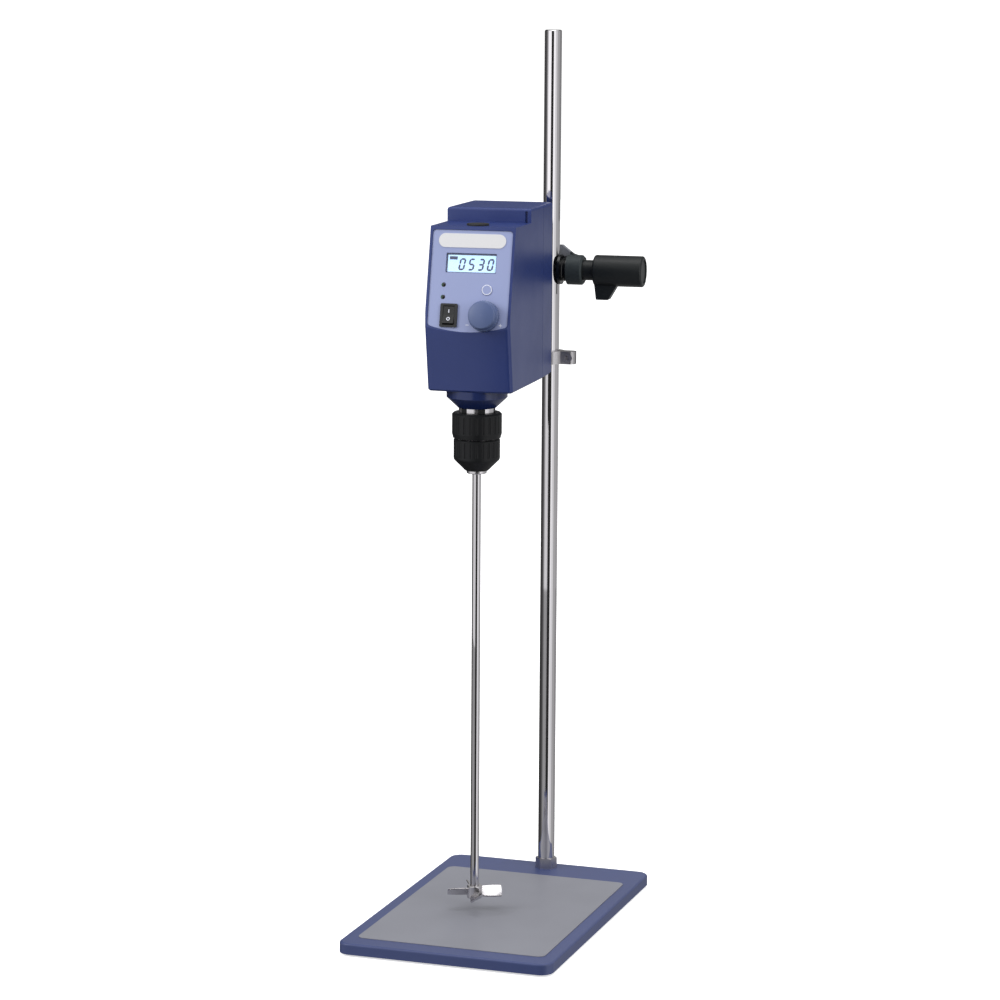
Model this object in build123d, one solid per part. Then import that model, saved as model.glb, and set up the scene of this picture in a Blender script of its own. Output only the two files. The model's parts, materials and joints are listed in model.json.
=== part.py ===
from build123d import *
import os
from math import cos, pi, radians, sin, sqrt, tan

# Overhead laboratory stirrer on a plate stand.
# Frame: origin on the bench under the middle of the base plate, +Z up, -Y towards the user.
# Every length is in millimetres.

# ---- clearances ----------------------------------------------------------------------------
running_gap = 0.05      # radial gap of a shaft that turns or slides in its bore
seat_gap = 0.15         # gap around a piece that drops into a pocket
free_gap = 0.3          # gap between pieces that only pass one another

# ---- base plate ----------------------------------------------------------------------------
plate_width = 200.0
plate_depth = 316.0
plate_thickness = 10.0
plate_corner = 12.0
plate_edge_round = 2.0
foot_diameter = 18.0
foot_height = 4.0
foot_pocket = 2.0
foot_inset = 20.0
mat_side_inset = 12.0
mat_front_inset = 20.0
mat_rear_inset = 46.0
mat_corner = 7.0
mat_thickness = 1.5
mat_pocket = 1.0

# ---- support rod ---------------------------------------------------------------------------
rod_diameter = 16.0
rod_length = 800.0
rod_setback = 16.0
rod_tip_round = 1.5
rod_spigot_diameter = 10.0
hex_collar_flats = 18.0
hex_collar_height = 10.0
hex_collar_chamfer = 0.6
lock_nut_flats = 17.0
lock_nut_height = 5.0
lock_nut_pocket_diameter = 22.0
lock_nut_pocket_depth = 6.5

# ---- stop collar on the rod ----------------------------------------------------------------
stop_collar_level = 507.5
stop_collar_height = 12.0
stop_collar_wall = 5.0
stop_ear_depth = 12.0
stop_ear_margin = 6.6
stop_ear_round = 5.0
stop_collar_slit = 2.0
stop_screw_offset = 18.3
stop_screw_diameter = 5.0
stop_screw_head_diameter = 8.5
stop_screw_head_height = 5.0
stop_screw_hex = 4.0

# ---- boss head -----------------------------------------------------------------------------
head_swing = 4.0        # turn of the boss head and motor head about the rod, in degrees
clamp_level = 590.0
clamp_half_height = 15.0
clamp_web_rise = 22.0
clamp_web_drop = 11.0
clamp_front_reach = 13.0
clamp_back_reach = 15.5
clamp_wall = 7.0
clamp_boss_diameter = 28.0
clamp_boss_chamfer = 1.5
rod_boss_start = 16.3
rod_boss_length = 15.2
arm_boss_gap = 4.9
arm_boss_length = 14.0
clamp_screw_diameter = 22.0
clamp_neck_diameter = 19.0
rod_neck_length = 10.3
arm_neck_length = 9.0
pad_diameter = 28.0
pad_thickness = 2.3
pad_socket_diameter = 8.0
pad_socket_depth = 1.3
knob_grip_diameter = 29.0
rod_knob_grip_length = 47.0
arm_knob_grip_length = 35.0
knob_grip_round = 2.0
knob_end_recess = 1.0
wing_drop = 27.0
wing_thickness = 11.0
wing_root_length = 22.0
wing_tip_start = 2.5
wing_tip_end = 14.0

# ---- support arm ---------------------------------------------------------------------------
arm_diameter = 13.0
arm_rod_wall = 13.8
arm_overhang = 12.0
arm_tip_round = 1.0
arm_flange_diameter = 30.0
arm_flange_thickness = 3.0

# ---- housing -------------------------------------------------------------------------------
housing_width = 78.2
housing_bottom = 496.0
housing_ledge = 642.6
housing_top = 655.4
housing_front = -55.2
housing_front_bulge = 1.9
housing_rear = 107.0
housing_seam = 66.5
housing_rear_inset = 0.6
housing_wall = 2.5
housing_front_corner = 4.0
housing_rear_corner = 5.0
housing_rear_rise = 2.5
housing_foot_chamfer = 1.5
housing_rim_round = 1.2
chin_level = 554.9
chin_overhang = 10.8
face_setback = 20.8
face_wall = 5.0
cap_front = 20.7
cap_edge_round = 2.5
cap_slot_width = 2.2
cap_slot_depth = 1.8
cap_slot_inset = 4.5
seam_groove = 0.5
vent_count = 7
vent_width = 2.4
vent_length = 30.0
vent_pitch = 6.0
vent_level = 628.0

# ---- control panel (u to the right, v up the face, w out of the face) -----------------------
panel_side_rim = 2.4
panel_top_rim = 3.0
panel_bottom_rim = 1.5
panel_corner = 3.0
panel_bow_share = 0.7
panel_pocket = 2.4
panel_thickness = 1.6
label_length = 61.6
label_height = 12.5
label_drop = 9.5
label_thickness = 0.5
display_length = 46.4
display_height = 17.6
display_drop = 29.4
display_corner = 1.0
display_sill = 0.8
display_lens_thickness = 0.8
board_gap = 6.0
board_thickness = 1.6
led_diameter = 3.8
led_column = -23.8
led_drops = (49.3, 60.3)
menu_button_diameter = 9.6
menu_button_column = 16.1
menu_button_drop = 52.9
menu_button_proud = 0.7
menu_button_travel = 0.8
switch_column = -17.3
switch_drop = 76.6
switch_width = 15.7
switch_height = 21.0
switch_rim = 1.4
switch_rim_proud = 1.5
switch_body_depth = 13.0
rocker_width = 10.0
rocker_length = 15.4
rocker_rest_angle = 8.0
rocker_pivot_diameter = 2.0
speed_knob_column = 15.9
speed_knob_drop = 76.8
speed_knob_face_diameter = 25.0
speed_knob_skirt_diameter = 27.8
speed_knob_height = 13.0
speed_knob_skirt_height = 5.0
speed_knob_dome = 1.6
speed_knob_rib_count = 36
speed_knob_rib = 0.8
speed_shaft_diameter = 6.0
speed_bush_diameter = 7.5

# ---- shaft passage plug --------------------------------------------------------------------
plug_head_diameter = 20.0
plug_head_height = 1.8
plug_stem_diameter = 15.6
plug_stem_length = 6.0

# ---- drive ---------------------------------------------------------------------------------
spindle_y = -18.4
spindle_diameter = 17.0
spindle_bore_diameter = 10.4
spindle_top = 600.0
spindle_nose_diameter = 16.0
bearing_outer_diameter = 35.0
bearing_width = 10.0
bearing_housing_wall = 4.5
lower_bearing_level = 503.0
upper_bearing_level = 540.0
frame_plate_level = 546.0
frame_plate_thickness = 6.0
frame_plate_width = 56.0
motor_setback = 54.0
motor_diameter = 52.0
motor_height = 44.0
motor_shaft_diameter = 6.0
pulley_level = 556.0
pulley_width = 11.0
pulley_flange = 1.0
spindle_pulley_diameter = 34.0
motor_pulley_diameter = 18.0
belt_thickness = 1.6
belt_width = 8.0
neck_diameter = 55.0
neck_flange_drop = 8.0
neck_cone_drop = 8.4
neck_tip_diameter = 35.0
lock_ring_diameter = 33.0
lock_ring_drop = 4.2
lock_ring_slots = 6
lock_ring_slot_width = 6.5
lock_ring_slot_depth = 2.2

# ---- keyless chuck -------------------------------------------------------------------------
chuck_top = 475.0
chuck_tip = 419.4
chuck_upper_diameter = 45.0
chuck_upper_length = 23.0
chuck_groove = 0.9
chuck_lower_diameter = 42.0
chuck_cone_round = 4.0
chuck_nose_diameter = 18.4
chuck_nose_length = 2.8
chuck_taper = 1.1
chuck_taper_height = 4.0
jaw_cover = 0.6
chuck_sleeve_wall = 2.4
chuck_flute_count = 24
chuck_flute_depth = 0.6
jaw_count = 3
jaw_angle = 15.0
jaw_diameter = 7.0
jaw_grip_depth = 0.5
jaw_tip_level = 423.5
jaw_top_level = 451.0
jaw_ring_height = 7.0

# ---- stirrer -------------------------------------------------------------------------------
stirrer_shaft_diameter = 8.0
stirrer_shaft_length = 448.0
stirrer_foot_level = 22.0
propeller_diameter = 50.0
propeller_hub_diameter = 14.0
propeller_hub_height = 12.0
propeller_blade_count = 4
propeller_blade_chord = 15.0
propeller_blade_thickness = 1.6
propeller_pitch_angle = 40.0
propeller_level = 30.0
hub_screw_diameter = 3.0

# ---- power inlet ---------------------------------------------------------------------------
inlet_level = 530.0
inlet_flange_width = 50.0
inlet_flange_height = 24.0
inlet_flange_thickness = 2.5
inlet_body_width = 28.0
inlet_body_height = 21.0
inlet_body_depth = 26.0
inlet_socket_width = 24.0
inlet_socket_height = 16.5
inlet_socket_depth = 18.0
inlet_pin_length = 12.0
inlet_pin_width = 4.0
inlet_pin_thickness = 2.0
inlet_pin_pitch = 7.0
inlet_screw_pitch = 40.0

# ---- fasteners -----------------------------------------------------------------------------
case_screw_diameter = 3.0
case_screw_head_diameter = 6.0
case_screw_head_height = 1.8
case_screw_length = 12.0
case_screw_inset = 12.0

# ---- places worked out from the sizes above --------------------------------------------------
plate_bottom = foot_height - foot_pocket
plate_top = plate_bottom + plate_thickness
mat_top = plate_top - mat_pocket + mat_thickness
rod_radius = rod_diameter / 2
rod_y = plate_depth / 2 - rod_setback
rod_top = plate_top + rod_length
arm_radius = arm_diameter / 2
arm_x = -(rod_radius + arm_rod_wall + arm_radius)
arm_end_y = rod_y + arm_overhang
spindle = (arm_x, spindle_y)
motor_axis = (arm_x, spindle_y + motor_setback)
half_width = housing_width / 2
face_height = housing_ledge - chin_level
face_tilt = Vector(0, face_setback, face_height).get_angle(Vector(0, 0, 1))
face_length = (face_height ** 2 + face_setback ** 2) ** 0.5
face_top_y = housing_front + face_setback
face_middle = Vector(arm_x, housing_front + face_setback / 2, chin_level + face_height / 2)
face_normal = Vector(0, -cos(radians(face_tilt)), sin(radians(face_tilt)))
face_plane = Plane(origin=face_middle, x_dir=(1, 0, 0), z_dir=face_normal)
panel_half_width = half_width - panel_side_rim
panel_top_v = face_length / 2 - panel_top_rim
panel_bottom_v = -face_length / 2 + panel_bottom_rim
panel_floor_w = -panel_pocket
panel_face_w = panel_floor_w + panel_thickness
face_inner_w = -face_wall
board_top_w = face_inner_w - board_gap
chuck_upper_bottom = chuck_top - chuck_upper_length
chuck_lower_top = chuck_upper_bottom - chuck_groove
neck_flange_bottom = housing_bottom - neck_flange_drop
neck_tip = neck_flange_bottom - neck_cone_drop
stirrer_top = stirrer_foot_level + stirrer_shaft_length


# ---- helpers -------------------------------------------------------------------------------
def ring(outer_radius, inner_radius, bottom, height, at=(0, 0)):
    """Plain upright ring."""
    outer = cylinder_z(outer_radius, bottom, height, at)
    return outer - cylinder_z(inner_radius, bottom - 1, height + 2, at)


def cylinder_z(radius, bottom, height, at=(0, 0)):
    """Upright cylinder standing on the level bottom."""
    return Pos(at[0], at[1], bottom + height / 2) * Cylinder(radius, height)


def cylinder_x(radius, start, end, y, z):
    """Cylinder along X from start to end."""
    middle = (start + end) / 2
    return Pos(middle, y, z) * Rot(0, 90, 0) * Cylinder(radius, abs(end - start))


def cylinder_y(radius, start, end, x, z):
    """Cylinder along Y from start to end."""
    middle = (start + end) / 2
    return Pos(x, middle, z) * Rot(90, 0, 0) * Cylinder(radius, abs(end - start))


def block(x_range, y_range, z_range):
    """Box given by its three ranges."""
    size = [high - low for low, high in (x_range, y_range, z_range)]
    middle = [(low + high) / 2 for low, high in (x_range, y_range, z_range)]
    return Pos(*middle) * Box(*size)


def turned(points, at=(0, 0)):
    """Solid of revolution about a vertical axis from (radius, level) points."""
    outline = make_face(Polyline(*[(radius, 0, level) for radius, level in points], close=True))
    return Pos(at[0], at[1], 0) * revolve(outline, Axis.Z, 360)


def hexagon_prism(flats, bottom, height, at=(0, 0), turn=0.0):
    """Upright hexagonal prism, measured across its flats."""
    outline = RegularPolygon(flats / 2, 6, major_radius=False, rotation=turn)
    return Pos(at[0], at[1], bottom) * extrude(outline, height)


def on_face(shape, u=0.0, v=0.0, w=0.0):
    """Place a shape on the sloping face of the housing."""
    return face_plane.location * Pos(u, v, w) * shape


def face_prism(outline, low_w, high_w, u=0.0, v=0.0):
    """Prism that stands on the sloping face between two depths."""
    return on_face(extrude(outline, high_w - low_w), u, v, low_w)


def swung(shape):
    """Turn a piece of the head about the rod, as the boss head is set."""
    return Pos(0, rod_y, 0) * Rot(0, 0, head_swing) * Pos(0, -rod_y, 0) * shape


def drop_to_v(drop):
    """Distance below the panel's top edge, as a height on the face."""
    return panel_top_v - drop


# ---- stand ---------------------------------------------------------------------------------
def corner_points(inset):
    """The four corners of the plate, moved in by inset."""
    x = plate_width / 2 - inset
    y = plate_depth / 2 - inset
    return [(-x, -y), (x, -y), (x, y), (-x, y)]


def mat_outline(gap):
    """Outline of the mat, shrunk by gap, with its middle."""
    width = plate_width - 2 * mat_side_inset - 2 * gap
    depth = plate_depth - mat_front_inset - mat_rear_inset - 2 * gap
    middle_y = (mat_front_inset - mat_rear_inset) / 2
    return Pos(0, middle_y) * RectangleRounded(width, depth, mat_corner - gap)


def base_plate():
    plate = extrude(RectangleRounded(plate_width, plate_depth, plate_corner), plate_thickness)
    plate = Pos(0, 0, plate_bottom) * plate
    plate = fillet(plate.faces().sort_by(Axis.Z)[-1].edges(), plate_edge_round)
    plate -= Pos(0, 0, plate_top - mat_pocket) * extrude(mat_outline(0), mat_pocket + 1)
    for corner in corner_points(foot_inset):
        plate -= cylinder_z(foot_diameter / 2 + seat_gap, plate_bottom - 1, foot_pocket + 1, corner)
    rod_at = (0, rod_y)
    plate -= cylinder_z(rod_spigot_diameter / 2 + seat_gap, plate_bottom - 1, plate_thickness + 2, rod_at)
    pocket_radius = lock_nut_pocket_diameter / 2
    plate -= cylinder_z(pocket_radius, plate_bottom - 1, lock_nut_pocket_depth + 1, rod_at)
    return plate


def non_slip_mat():
    return Pos(0, 0, plate_top - mat_pocket) * extrude(mat_outline(seat_gap), mat_thickness)


def rubber_feet():
    foot = cylinder_z(foot_diameter / 2, 0, foot_height)
    foot = chamfer(foot.faces().sort_by(Axis.Z)[0].edges(), 0.6)
    return [Pos(x, y, 0) * foot for x, y in corner_points(foot_inset)]


def support_rod():
    rod = cylinder_z(rod_radius, plate_top, rod_length, (0, rod_y))
    rod = fillet(rod.faces().sort_by(Axis.Z)[-1].edges(), rod_tip_round)
    spigot_length = plate_thickness - 1.0
    return rod + cylinder_z(rod_spigot_diameter / 2, plate_top - spigot_length, spigot_length, (0, rod_y))


def rod_hex_collar():
    nut = hexagon_prism(hex_collar_flats, plate_top, hex_collar_height, (0, rod_y), turn=12)
    cone_radius = hex_collar_flats / 2 / cos(pi / 6) - hex_collar_chamfer
    bevel = Cone(cone_radius + hex_collar_height, cone_radius, hex_collar_height)
    nut &= Pos(0, rod_y, plate_top + hex_collar_height / 2) * bevel
    return nut - cylinder_z(rod_radius + running_gap, plate_top - 1, hex_collar_height + 2, (0, rod_y))


def rod_lock_nut():
    top = plate_bottom + lock_nut_pocket_depth
    nut = hexagon_prism(lock_nut_flats, top - lock_nut_height, lock_nut_height, (0, rod_y))
    return nut - cylinder_z(rod_spigot_diameter / 2 + running_gap, plate_bottom, plate_thickness, (0, rod_y))


# ---- stop collar ---------------------------------------------------------------------------
stop_collar_radius = rod_radius + stop_collar_wall
stop_screw_x = stop_screw_offset
stop_ear_end = stop_screw_offset + stop_ear_margin
stop_front_y = rod_y - stop_ear_depth / 2
stop_rear_y = rod_y + stop_ear_depth / 2


def stop_collar():
    low = stop_collar_level - stop_collar_height / 2
    high = stop_collar_level + stop_collar_height / 2
    collar = cylinder_z(stop_collar_radius, low, stop_collar_height, (0, rod_y))
    ears = block((0, stop_ear_end), (stop_front_y, stop_rear_y), (low, high))
    ears = fillet(ears.edges().filter_by(Axis.Z).group_by(Axis.X)[-1], stop_ear_round)
    collar += ears
    collar -= cylinder_z(rod_radius + running_gap, low - 1, stop_collar_height + 2, (0, rod_y))
    slit = (rod_y - stop_collar_slit / 2, rod_y + stop_collar_slit / 2)
    collar -= block((0, stop_ear_end + 1), slit, (low - 1, high + 1))
    head_radius = stop_screw_head_diameter / 2 + seat_gap
    head_seat = stop_front_y + stop_screw_head_height
    collar -= cylinder_y(head_radius, stop_front_y - 1, head_seat, stop_screw_x, stop_collar_level)
    shank_radius = stop_screw_diameter / 2 + running_gap
    collar -= cylinder_y(shank_radius, stop_front_y, stop_rear_y + 1, stop_screw_x, stop_collar_level)
    return collar


def stop_collar_screw():
    head_end = stop_front_y + stop_screw_head_height
    head = cylinder_y(stop_screw_head_diameter / 2, stop_front_y + 0.3, head_end, stop_screw_x, stop_collar_level)
    shank_end = stop_rear_y - 1
    shank = cylinder_y(stop_screw_diameter / 2, head_end, shank_end, stop_screw_x, stop_collar_level)
    socket = extrude(RegularPolygon(stop_screw_hex / 2, 6, major_radius=False), stop_screw_head_height * 1.2)
    socket_depth = stop_front_y + 0.3 + stop_screw_head_height / 2
    return head + shank - Pos(stop_screw_x, socket_depth, stop_collar_level) * Rot(90, 0, 0) * socket


# ---- boss head -----------------------------------------------------------------------------
rod_boss_end = rod_boss_start + rod_boss_length
rod_knob_start = rod_boss_end + rod_neck_length
arm_face_x = arm_x - arm_radius
arm_boss_start = arm_face_x - arm_boss_gap
arm_boss_end = arm_boss_start - arm_boss_length
arm_knob_start = arm_boss_end - arm_neck_length


def clamp_boss(start, end):
    """Threaded boss of the clamp casting, chamfered on its outer end."""
    boss = cylinder_x(clamp_boss_diameter / 2, start, end, rod_y, clamp_level)
    ends = boss.faces().filter_by(GeomType.PLANE).sort_by(Axis.X)
    outer_end = ends[-1] if end > start else ends[0]
    return chamfer(outer_end.edges(), clamp_boss_chamfer)


def boss_head():
    front = rod_y - clamp_front_reach
    back = rod_y + clamp_back_reach
    low = clamp_level - clamp_half_height
    high = clamp_level + clamp_half_height
    core = block((arm_x, -1.0), (front, back), (low, high))
    web_outline = Polyline(
        (arm_x, low),
        (arm_x, high),
        (-rod_radius, clamp_level + clamp_web_rise),
        (rod_radius, clamp_level + clamp_web_rise),
        (rod_boss_start + 2, clamp_level + clamp_boss_diameter / 2),
        (rod_boss_end - clamp_boss_chamfer, clamp_level + clamp_boss_diameter / 2 - 4),
        (rod_boss_end - clamp_boss_chamfer, clamp_level - clamp_web_drop),
        (-1.0, clamp_level - clamp_web_drop),
        (-1.0, low),
        close=True,
    )
    web_plane = Plane(origin=(0, back, 0), x_dir=(1, 0, 0), z_dir=(0, -1, 0))
    web_face = web_plane.location * make_face(web_outline)
    web = extrude(web_face, clamp_back_reach - rod_radius - 0.6, dir=(0, -1, 0))
    cradle_top = clamp_level - arm_radius * 0.55
    cradle = block((arm_boss_end + clamp_boss_chamfer, -rod_radius), (front, back), (low, cradle_top))
    body = core + web + cradle
    body = fillet(body.edges().filter_by(Axis.Y).group_by(Axis.X)[0], 2.0)
    body += clamp_boss(rod_boss_start, rod_boss_end)
    body += clamp_boss(arm_boss_start, arm_boss_end)
    body -= cylinder_z(rod_radius + running_gap, low - 20, 80, (0, rod_y))
    arm_channel = cylinder_y(arm_radius + running_gap, front - 1, back + 1, arm_x, clamp_level)
    body -= arm_channel
    screw_radius = clamp_screw_diameter / 2 + running_gap
    body -= cylinder_x(screw_radius, rod_boss_start - 1, rod_boss_end + 1, rod_y, clamp_level)
    body -= cylinder_x(screw_radius, arm_boss_end - 1, arm_boss_start + 1, rod_y, clamp_level)
    pad_radius = pad_diameter / 2 + free_gap
    body -= cylinder_x(pad_radius, rod_radius - 0.2, rod_boss_start, rod_y, clamp_level)
    body -= cylinder_x(pad_radius, arm_boss_start, arm_face_x + 0.2, rod_y, clamp_level)
    return body


def clamp_pad(face_x, outward):
    """Swivel pad that the clamp screw presses on the rod or the arm."""
    near = face_x + outward * running_gap
    far = near + outward * pad_thickness
    pad = cylinder_x(pad_diameter / 2, near, far, rod_y, clamp_level)
    socket_floor = far - outward * pad_socket_depth
    return pad - cylinder_x(pad_socket_diameter / 2, socket_floor, far + outward, rod_y, clamp_level)


def clamp_screw(face_x, boss_end, outward):
    """Thick clamp screw with a reduced tip that turns in its pad."""
    pad_back = face_x + outward * (running_gap + pad_thickness)
    shoulder = pad_back + outward * running_gap
    body = cylinder_x(clamp_screw_diameter / 2, shoulder, boss_end, rod_y, clamp_level)
    tip_radius = pad_socket_diameter / 2 - running_gap
    tip_end = pad_back - outward * (pad_socket_depth - running_gap)
    return body + cylinder_x(tip_radius, tip_end, shoulder, rod_y, clamp_level)


def clamp_knob(boss_end, neck_length, grip_length, outward):
    """Winged grip with its neck, from the end of the boss outwards."""
    grip_start = neck_length
    grip_end = grip_start + grip_length
    neck = cylinder_x(clamp_neck_diameter / 2, 0, grip_start, 0, 0)
    grip = cylinder_x(knob_grip_diameter / 2, grip_start, grip_end, 0, 0)
    wing_outline = Polyline(
        (grip_start, 0),
        (grip_start, -knob_grip_diameter / 4),
        (grip_start + wing_tip_start, -wing_drop),
        (grip_start + wing_tip_end, -wing_drop),
        (grip_start + wing_root_length, -knob_grip_diameter / 2 + 1),
        (grip_start + wing_root_length, 0),
        close=True,
    )
    wing_plane = Plane(origin=(0, wing_thickness / 2, 0), x_dir=(1, 0, 0), z_dir=(0, -1, 0))
    wing = extrude(wing_plane.location * make_face(wing_outline), wing_thickness, dir=(0, -1, 0))
    tip_edges = wing.edges().filter_by(Axis.Y).group_by(Axis.Z)[0]
    wing = fillet(tip_edges, 1.2)
    ends = grip.faces().filter_by(GeomType.PLANE).sort_by(Axis.X)
    grip = fillet(ends[0].edges() + ends[-1].edges(), knob_grip_round)
    recess_radius = knob_grip_diameter / 2 - knob_grip_round - 1.5
    grip -= cylinder_x(recess_radius, grip_end - knob_end_recess, grip_end + 1, 0, 0)
    knob = neck + grip + wing
    turn = 0 if outward > 0 else 180
    return Pos(boss_end, rod_y, clamp_level) * Rot(0, 0, turn) * knob


# ---- housing -------------------------------------------------------------------------------
def housing_outline(inset, front):
    """Plan of the housing, shrunk by inset: bowed front, straight sides, drawn-in rear."""
    half = half_width
    rear_half = half - housing_rear_inset
    edges = [
        ThreePointArc((-half, front), (0, front - housing_front_bulge), (half, front)),
        Line((half, front), (half, housing_seam)),
        Line((half, housing_seam), (rear_half, housing_rear)),
        Line((rear_half, housing_rear), (-rear_half, housing_rear)),
        Line((-rear_half, housing_rear), (-half, housing_seam)),
        Line((-half, housing_seam), (-half, front)),
    ]
    outline = make_face(edges)
    corners = outline.vertices().group_by(Axis.Y)
    outline = fillet(corners[0], housing_front_corner)
    rear_corners = outline.vertices().group_by(Axis.Y)[-1]
    outline = fillet(rear_corners, housing_rear_corner)
    if inset > 0:
        outline = offset(outline, -inset)
    return Pos(arm_x, 0) * outline


def housing_block(inset, face_inset):
    """Solid housing, shrunk by inset on its walls and by face_inset on its sloping face."""
    chin_outline = Pos(0, 0, chin_level) * housing_outline(inset, housing_front)
    front = housing_front + chin_overhang
    foot_outline = Pos(0, 0, housing_bottom + housing_foot_chamfer) * housing_outline(inset, front)
    sole_outline = Pos(0, 0, housing_bottom) * housing_outline(inset + housing_foot_chamfer, front)
    body = extrude(chin_outline, housing_top - inset - chin_level)
    body += loft([foot_outline, chin_outline], ruled=True)
    body += loft([sole_outline, foot_outline], ruled=True)
    reach = housing_width * 2
    bottom = housing_bottom + inset
    ledge = housing_ledge - inset
    body -= block((-reach, reach), (-reach, 2 * reach), (bottom - reach, bottom))
    body -= block((-reach, reach), (housing_front - reach, cap_front + inset), (ledge, ledge + reach))
    slope = housing_rear_rise / (housing_rear - housing_seam)
    under_rear = make_face(Polyline(
        (housing_seam, bottom), (housing_seam + reach, bottom + reach * slope), (housing_seam + reach, bottom), close=True
    ))
    side_plane = Plane(origin=(-reach, 0, 0), x_dir=(0, 1, 0), z_dir=(1, 0, 0))
    body -= extrude(side_plane.location * under_rear, 2 * reach, dir=(1, 0, 0))
    over_face = Pos(0, 0, reach / 2 - face_inset) * Box(reach * 2, reach * 2, reach)
    return body - face_plane.location * over_face


def panel_outline(gap):
    """Outline of the control panel on the face: straight sides, bowed lower edge."""
    half = panel_half_width - gap
    top = panel_top_v - gap
    bottom = panel_bottom_v + gap
    bow = housing_front_bulge / tan(radians(face_tilt)) * panel_bow_share
    edges = [
        Line((-half, bottom), (-half, top)),
        Line((-half, top), (half, top)),
        Line((half, top), (half, bottom)),
        ThreePointArc((half, bottom), (0, bottom - bow), (-half, bottom)),
    ]
    outline = make_face(edges)
    return fillet(outline.vertices(), panel_corner)


def round_hole(diameter, u, v, low_w, high_w):
    return on_face(cylinder_z(diameter / 2, low_w, high_w - low_w), u, v)


def face_openings(shape, low_w, high_w, display_margin):
    """Cut every opening of the sloping face through a shape between two depths."""
    window = RectangleRounded(
        display_length - 2 * display_margin, display_height - 2 * display_margin, display_corner
    )
    shape -= face_prism(window, low_w, high_w, 0, drop_to_v(display_drop))
    for drop in led_drops:
        shape -= round_hole(led_diameter + 2 * seat_gap, led_column, drop_to_v(drop), low_w, high_w)
    button_hole = menu_button_diameter + 2 * seat_gap
    shape -= round_hole(button_hole, menu_button_column, drop_to_v(menu_button_drop), low_w, high_w)
    body_hole = Rectangle(
        switch_width - 2 * switch_rim + 2 * seat_gap, switch_height - 2 * switch_rim + 2 * seat_gap
    )
    shape -= face_prism(body_hole, low_w, high_w, switch_column, drop_to_v(switch_drop))
    bush_hole = speed_bush_diameter + 2 * seat_gap
    return shape - round_hole(bush_hole, speed_knob_column, drop_to_v(speed_knob_drop), low_w, high_w)


def case_screw_places():
    """Places of the case screws on the rear face, as (x, z)."""
    x = half_width - housing_rear_inset - case_screw_inset
    levels = (housing_bottom + case_screw_inset, housing_top - case_screw_inset)
    return [(arm_x + side * x, level) for side in (-1, 1) for level in levels]


def housing_shell():
    """Both halves of the housing as one shell, before the seam divides them."""
    outer = housing_block(0, 0)
    top_edges = outer.faces().sort_by(Axis.Z)[-1].edges()
    outer = fillet(top_edges, cap_edge_round)
    shell = outer - housing_block(housing_wall, face_wall)
    ledge_hole = plug_stem_diameter / 2 + seat_gap
    shell -= cylinder_z(ledge_hole, housing_ledge - 10, 20, spindle)
    shell -= cylinder_z(neck_hole_radius, housing_bottom - 1, 8, spindle)
    return shell


neck_hole_radius = neck_tip_diameter / 2 + 4.0
far = 400.0


def front_shell():
    seam_side = block((-far, far), (-far, housing_seam), (0, 2 * far))
    shell = housing_shell() & seam_side
    shell -= face_prism(panel_outline(0), panel_floor_w, 5.0)
    shell = face_openings(shell, -face_wall - 5, 5.0, display_sill)
    slot_x = arm_x + half_width - cap_slot_inset
    slot = (slot_x - cap_slot_width / 2, slot_x + cap_slot_width / 2)
    slot_top = housing_top - cap_edge_round
    return shell - block(slot, (cap_front - 1, cap_front + cap_slot_depth), (housing_ledge, slot_top))


def rear_shell():
    seam_side = block((-far, far), (housing_seam, far), (0, 2 * far))
    shell = housing_shell() & seam_side
    for side in (-1, 1):
        groove_x = arm_x + side * half_width
        seam = (housing_seam - seam_groove, housing_seam + seam_groove)
        shell -= block((groove_x - seam_groove, groove_x + seam_groove), seam, (0, 2 * far))
    arm_hole = arm_radius + 0.5
    shell -= cylinder_y(arm_hole, housing_rear - 10, housing_rear + 5, arm_x, clamp_level)
    inlet_hole = block(
        (arm_x - inlet_body_width / 2 - seat_gap, arm_x + inlet_body_width / 2 + seat_gap),
        (housing_rear - 10, housing_rear + 5),
        (inlet_level - inlet_body_height / 2 - seat_gap, inlet_level + inlet_body_height / 2 + seat_gap),
    )
    shell -= inlet_hole
    first = -(vent_count - 1) / 2
    vent = extrude(SlotOverall(vent_length, vent_width, rotation=90), 12)
    for index in range(vent_count):
        x = arm_x + (first + index) * vent_pitch
        shell -= Pos(x, housing_rear + 4, vent_level) * Rot(90, 0, 0) * vent
    for x, level in case_screw_places():
        head_floor = housing_rear - case_screw_head_height
        shell += cylinder_y(case_screw_head_diameter / 2 + 1.5, housing_rear - 9, housing_rear - 1, x, level)
        shell -= cylinder_y(case_screw_head_diameter / 2 + seat_gap, head_floor, housing_rear + 5, x, level)
        shell -= cylinder_y(case_screw_diameter / 2 + seat_gap, housing_rear - 12, housing_rear, x, level)
    for side in (-1, 1):
        x = arm_x + side * inlet_screw_pitch / 2
        shell -= cylinder_y(case_screw_diameter / 2 + seat_gap, housing_rear - 10, housing_rear + 5, x, inlet_level)
    return shell


def case_screws():
    screws = []
    for x, level in case_screw_places():
        seat = housing_rear - case_screw_head_height
        head = cylinder_y(case_screw_head_diameter / 2, seat, housing_rear, x, level)
        shank = cylinder_y(case_screw_diameter / 2, seat - case_screw_length, seat, x, level)
        cross = block((x - 1.6, x + 1.6), (housing_rear - 1, housing_rear + 1), (level - 0.4, level + 0.4))
        cross += block((x - 0.4, x + 0.4), (housing_rear - 1, housing_rear + 1), (level - 1.6, level + 1.6))
        screws.append(head + shank - cross)
    return screws


# ---- control panel -------------------------------------------------------------------------
def control_panel():
    panel = face_prism(panel_outline(seat_gap), panel_floor_w, panel_face_w)
    return face_openings(panel, panel_floor_w - 1, panel_face_w + 1, 0)


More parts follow.
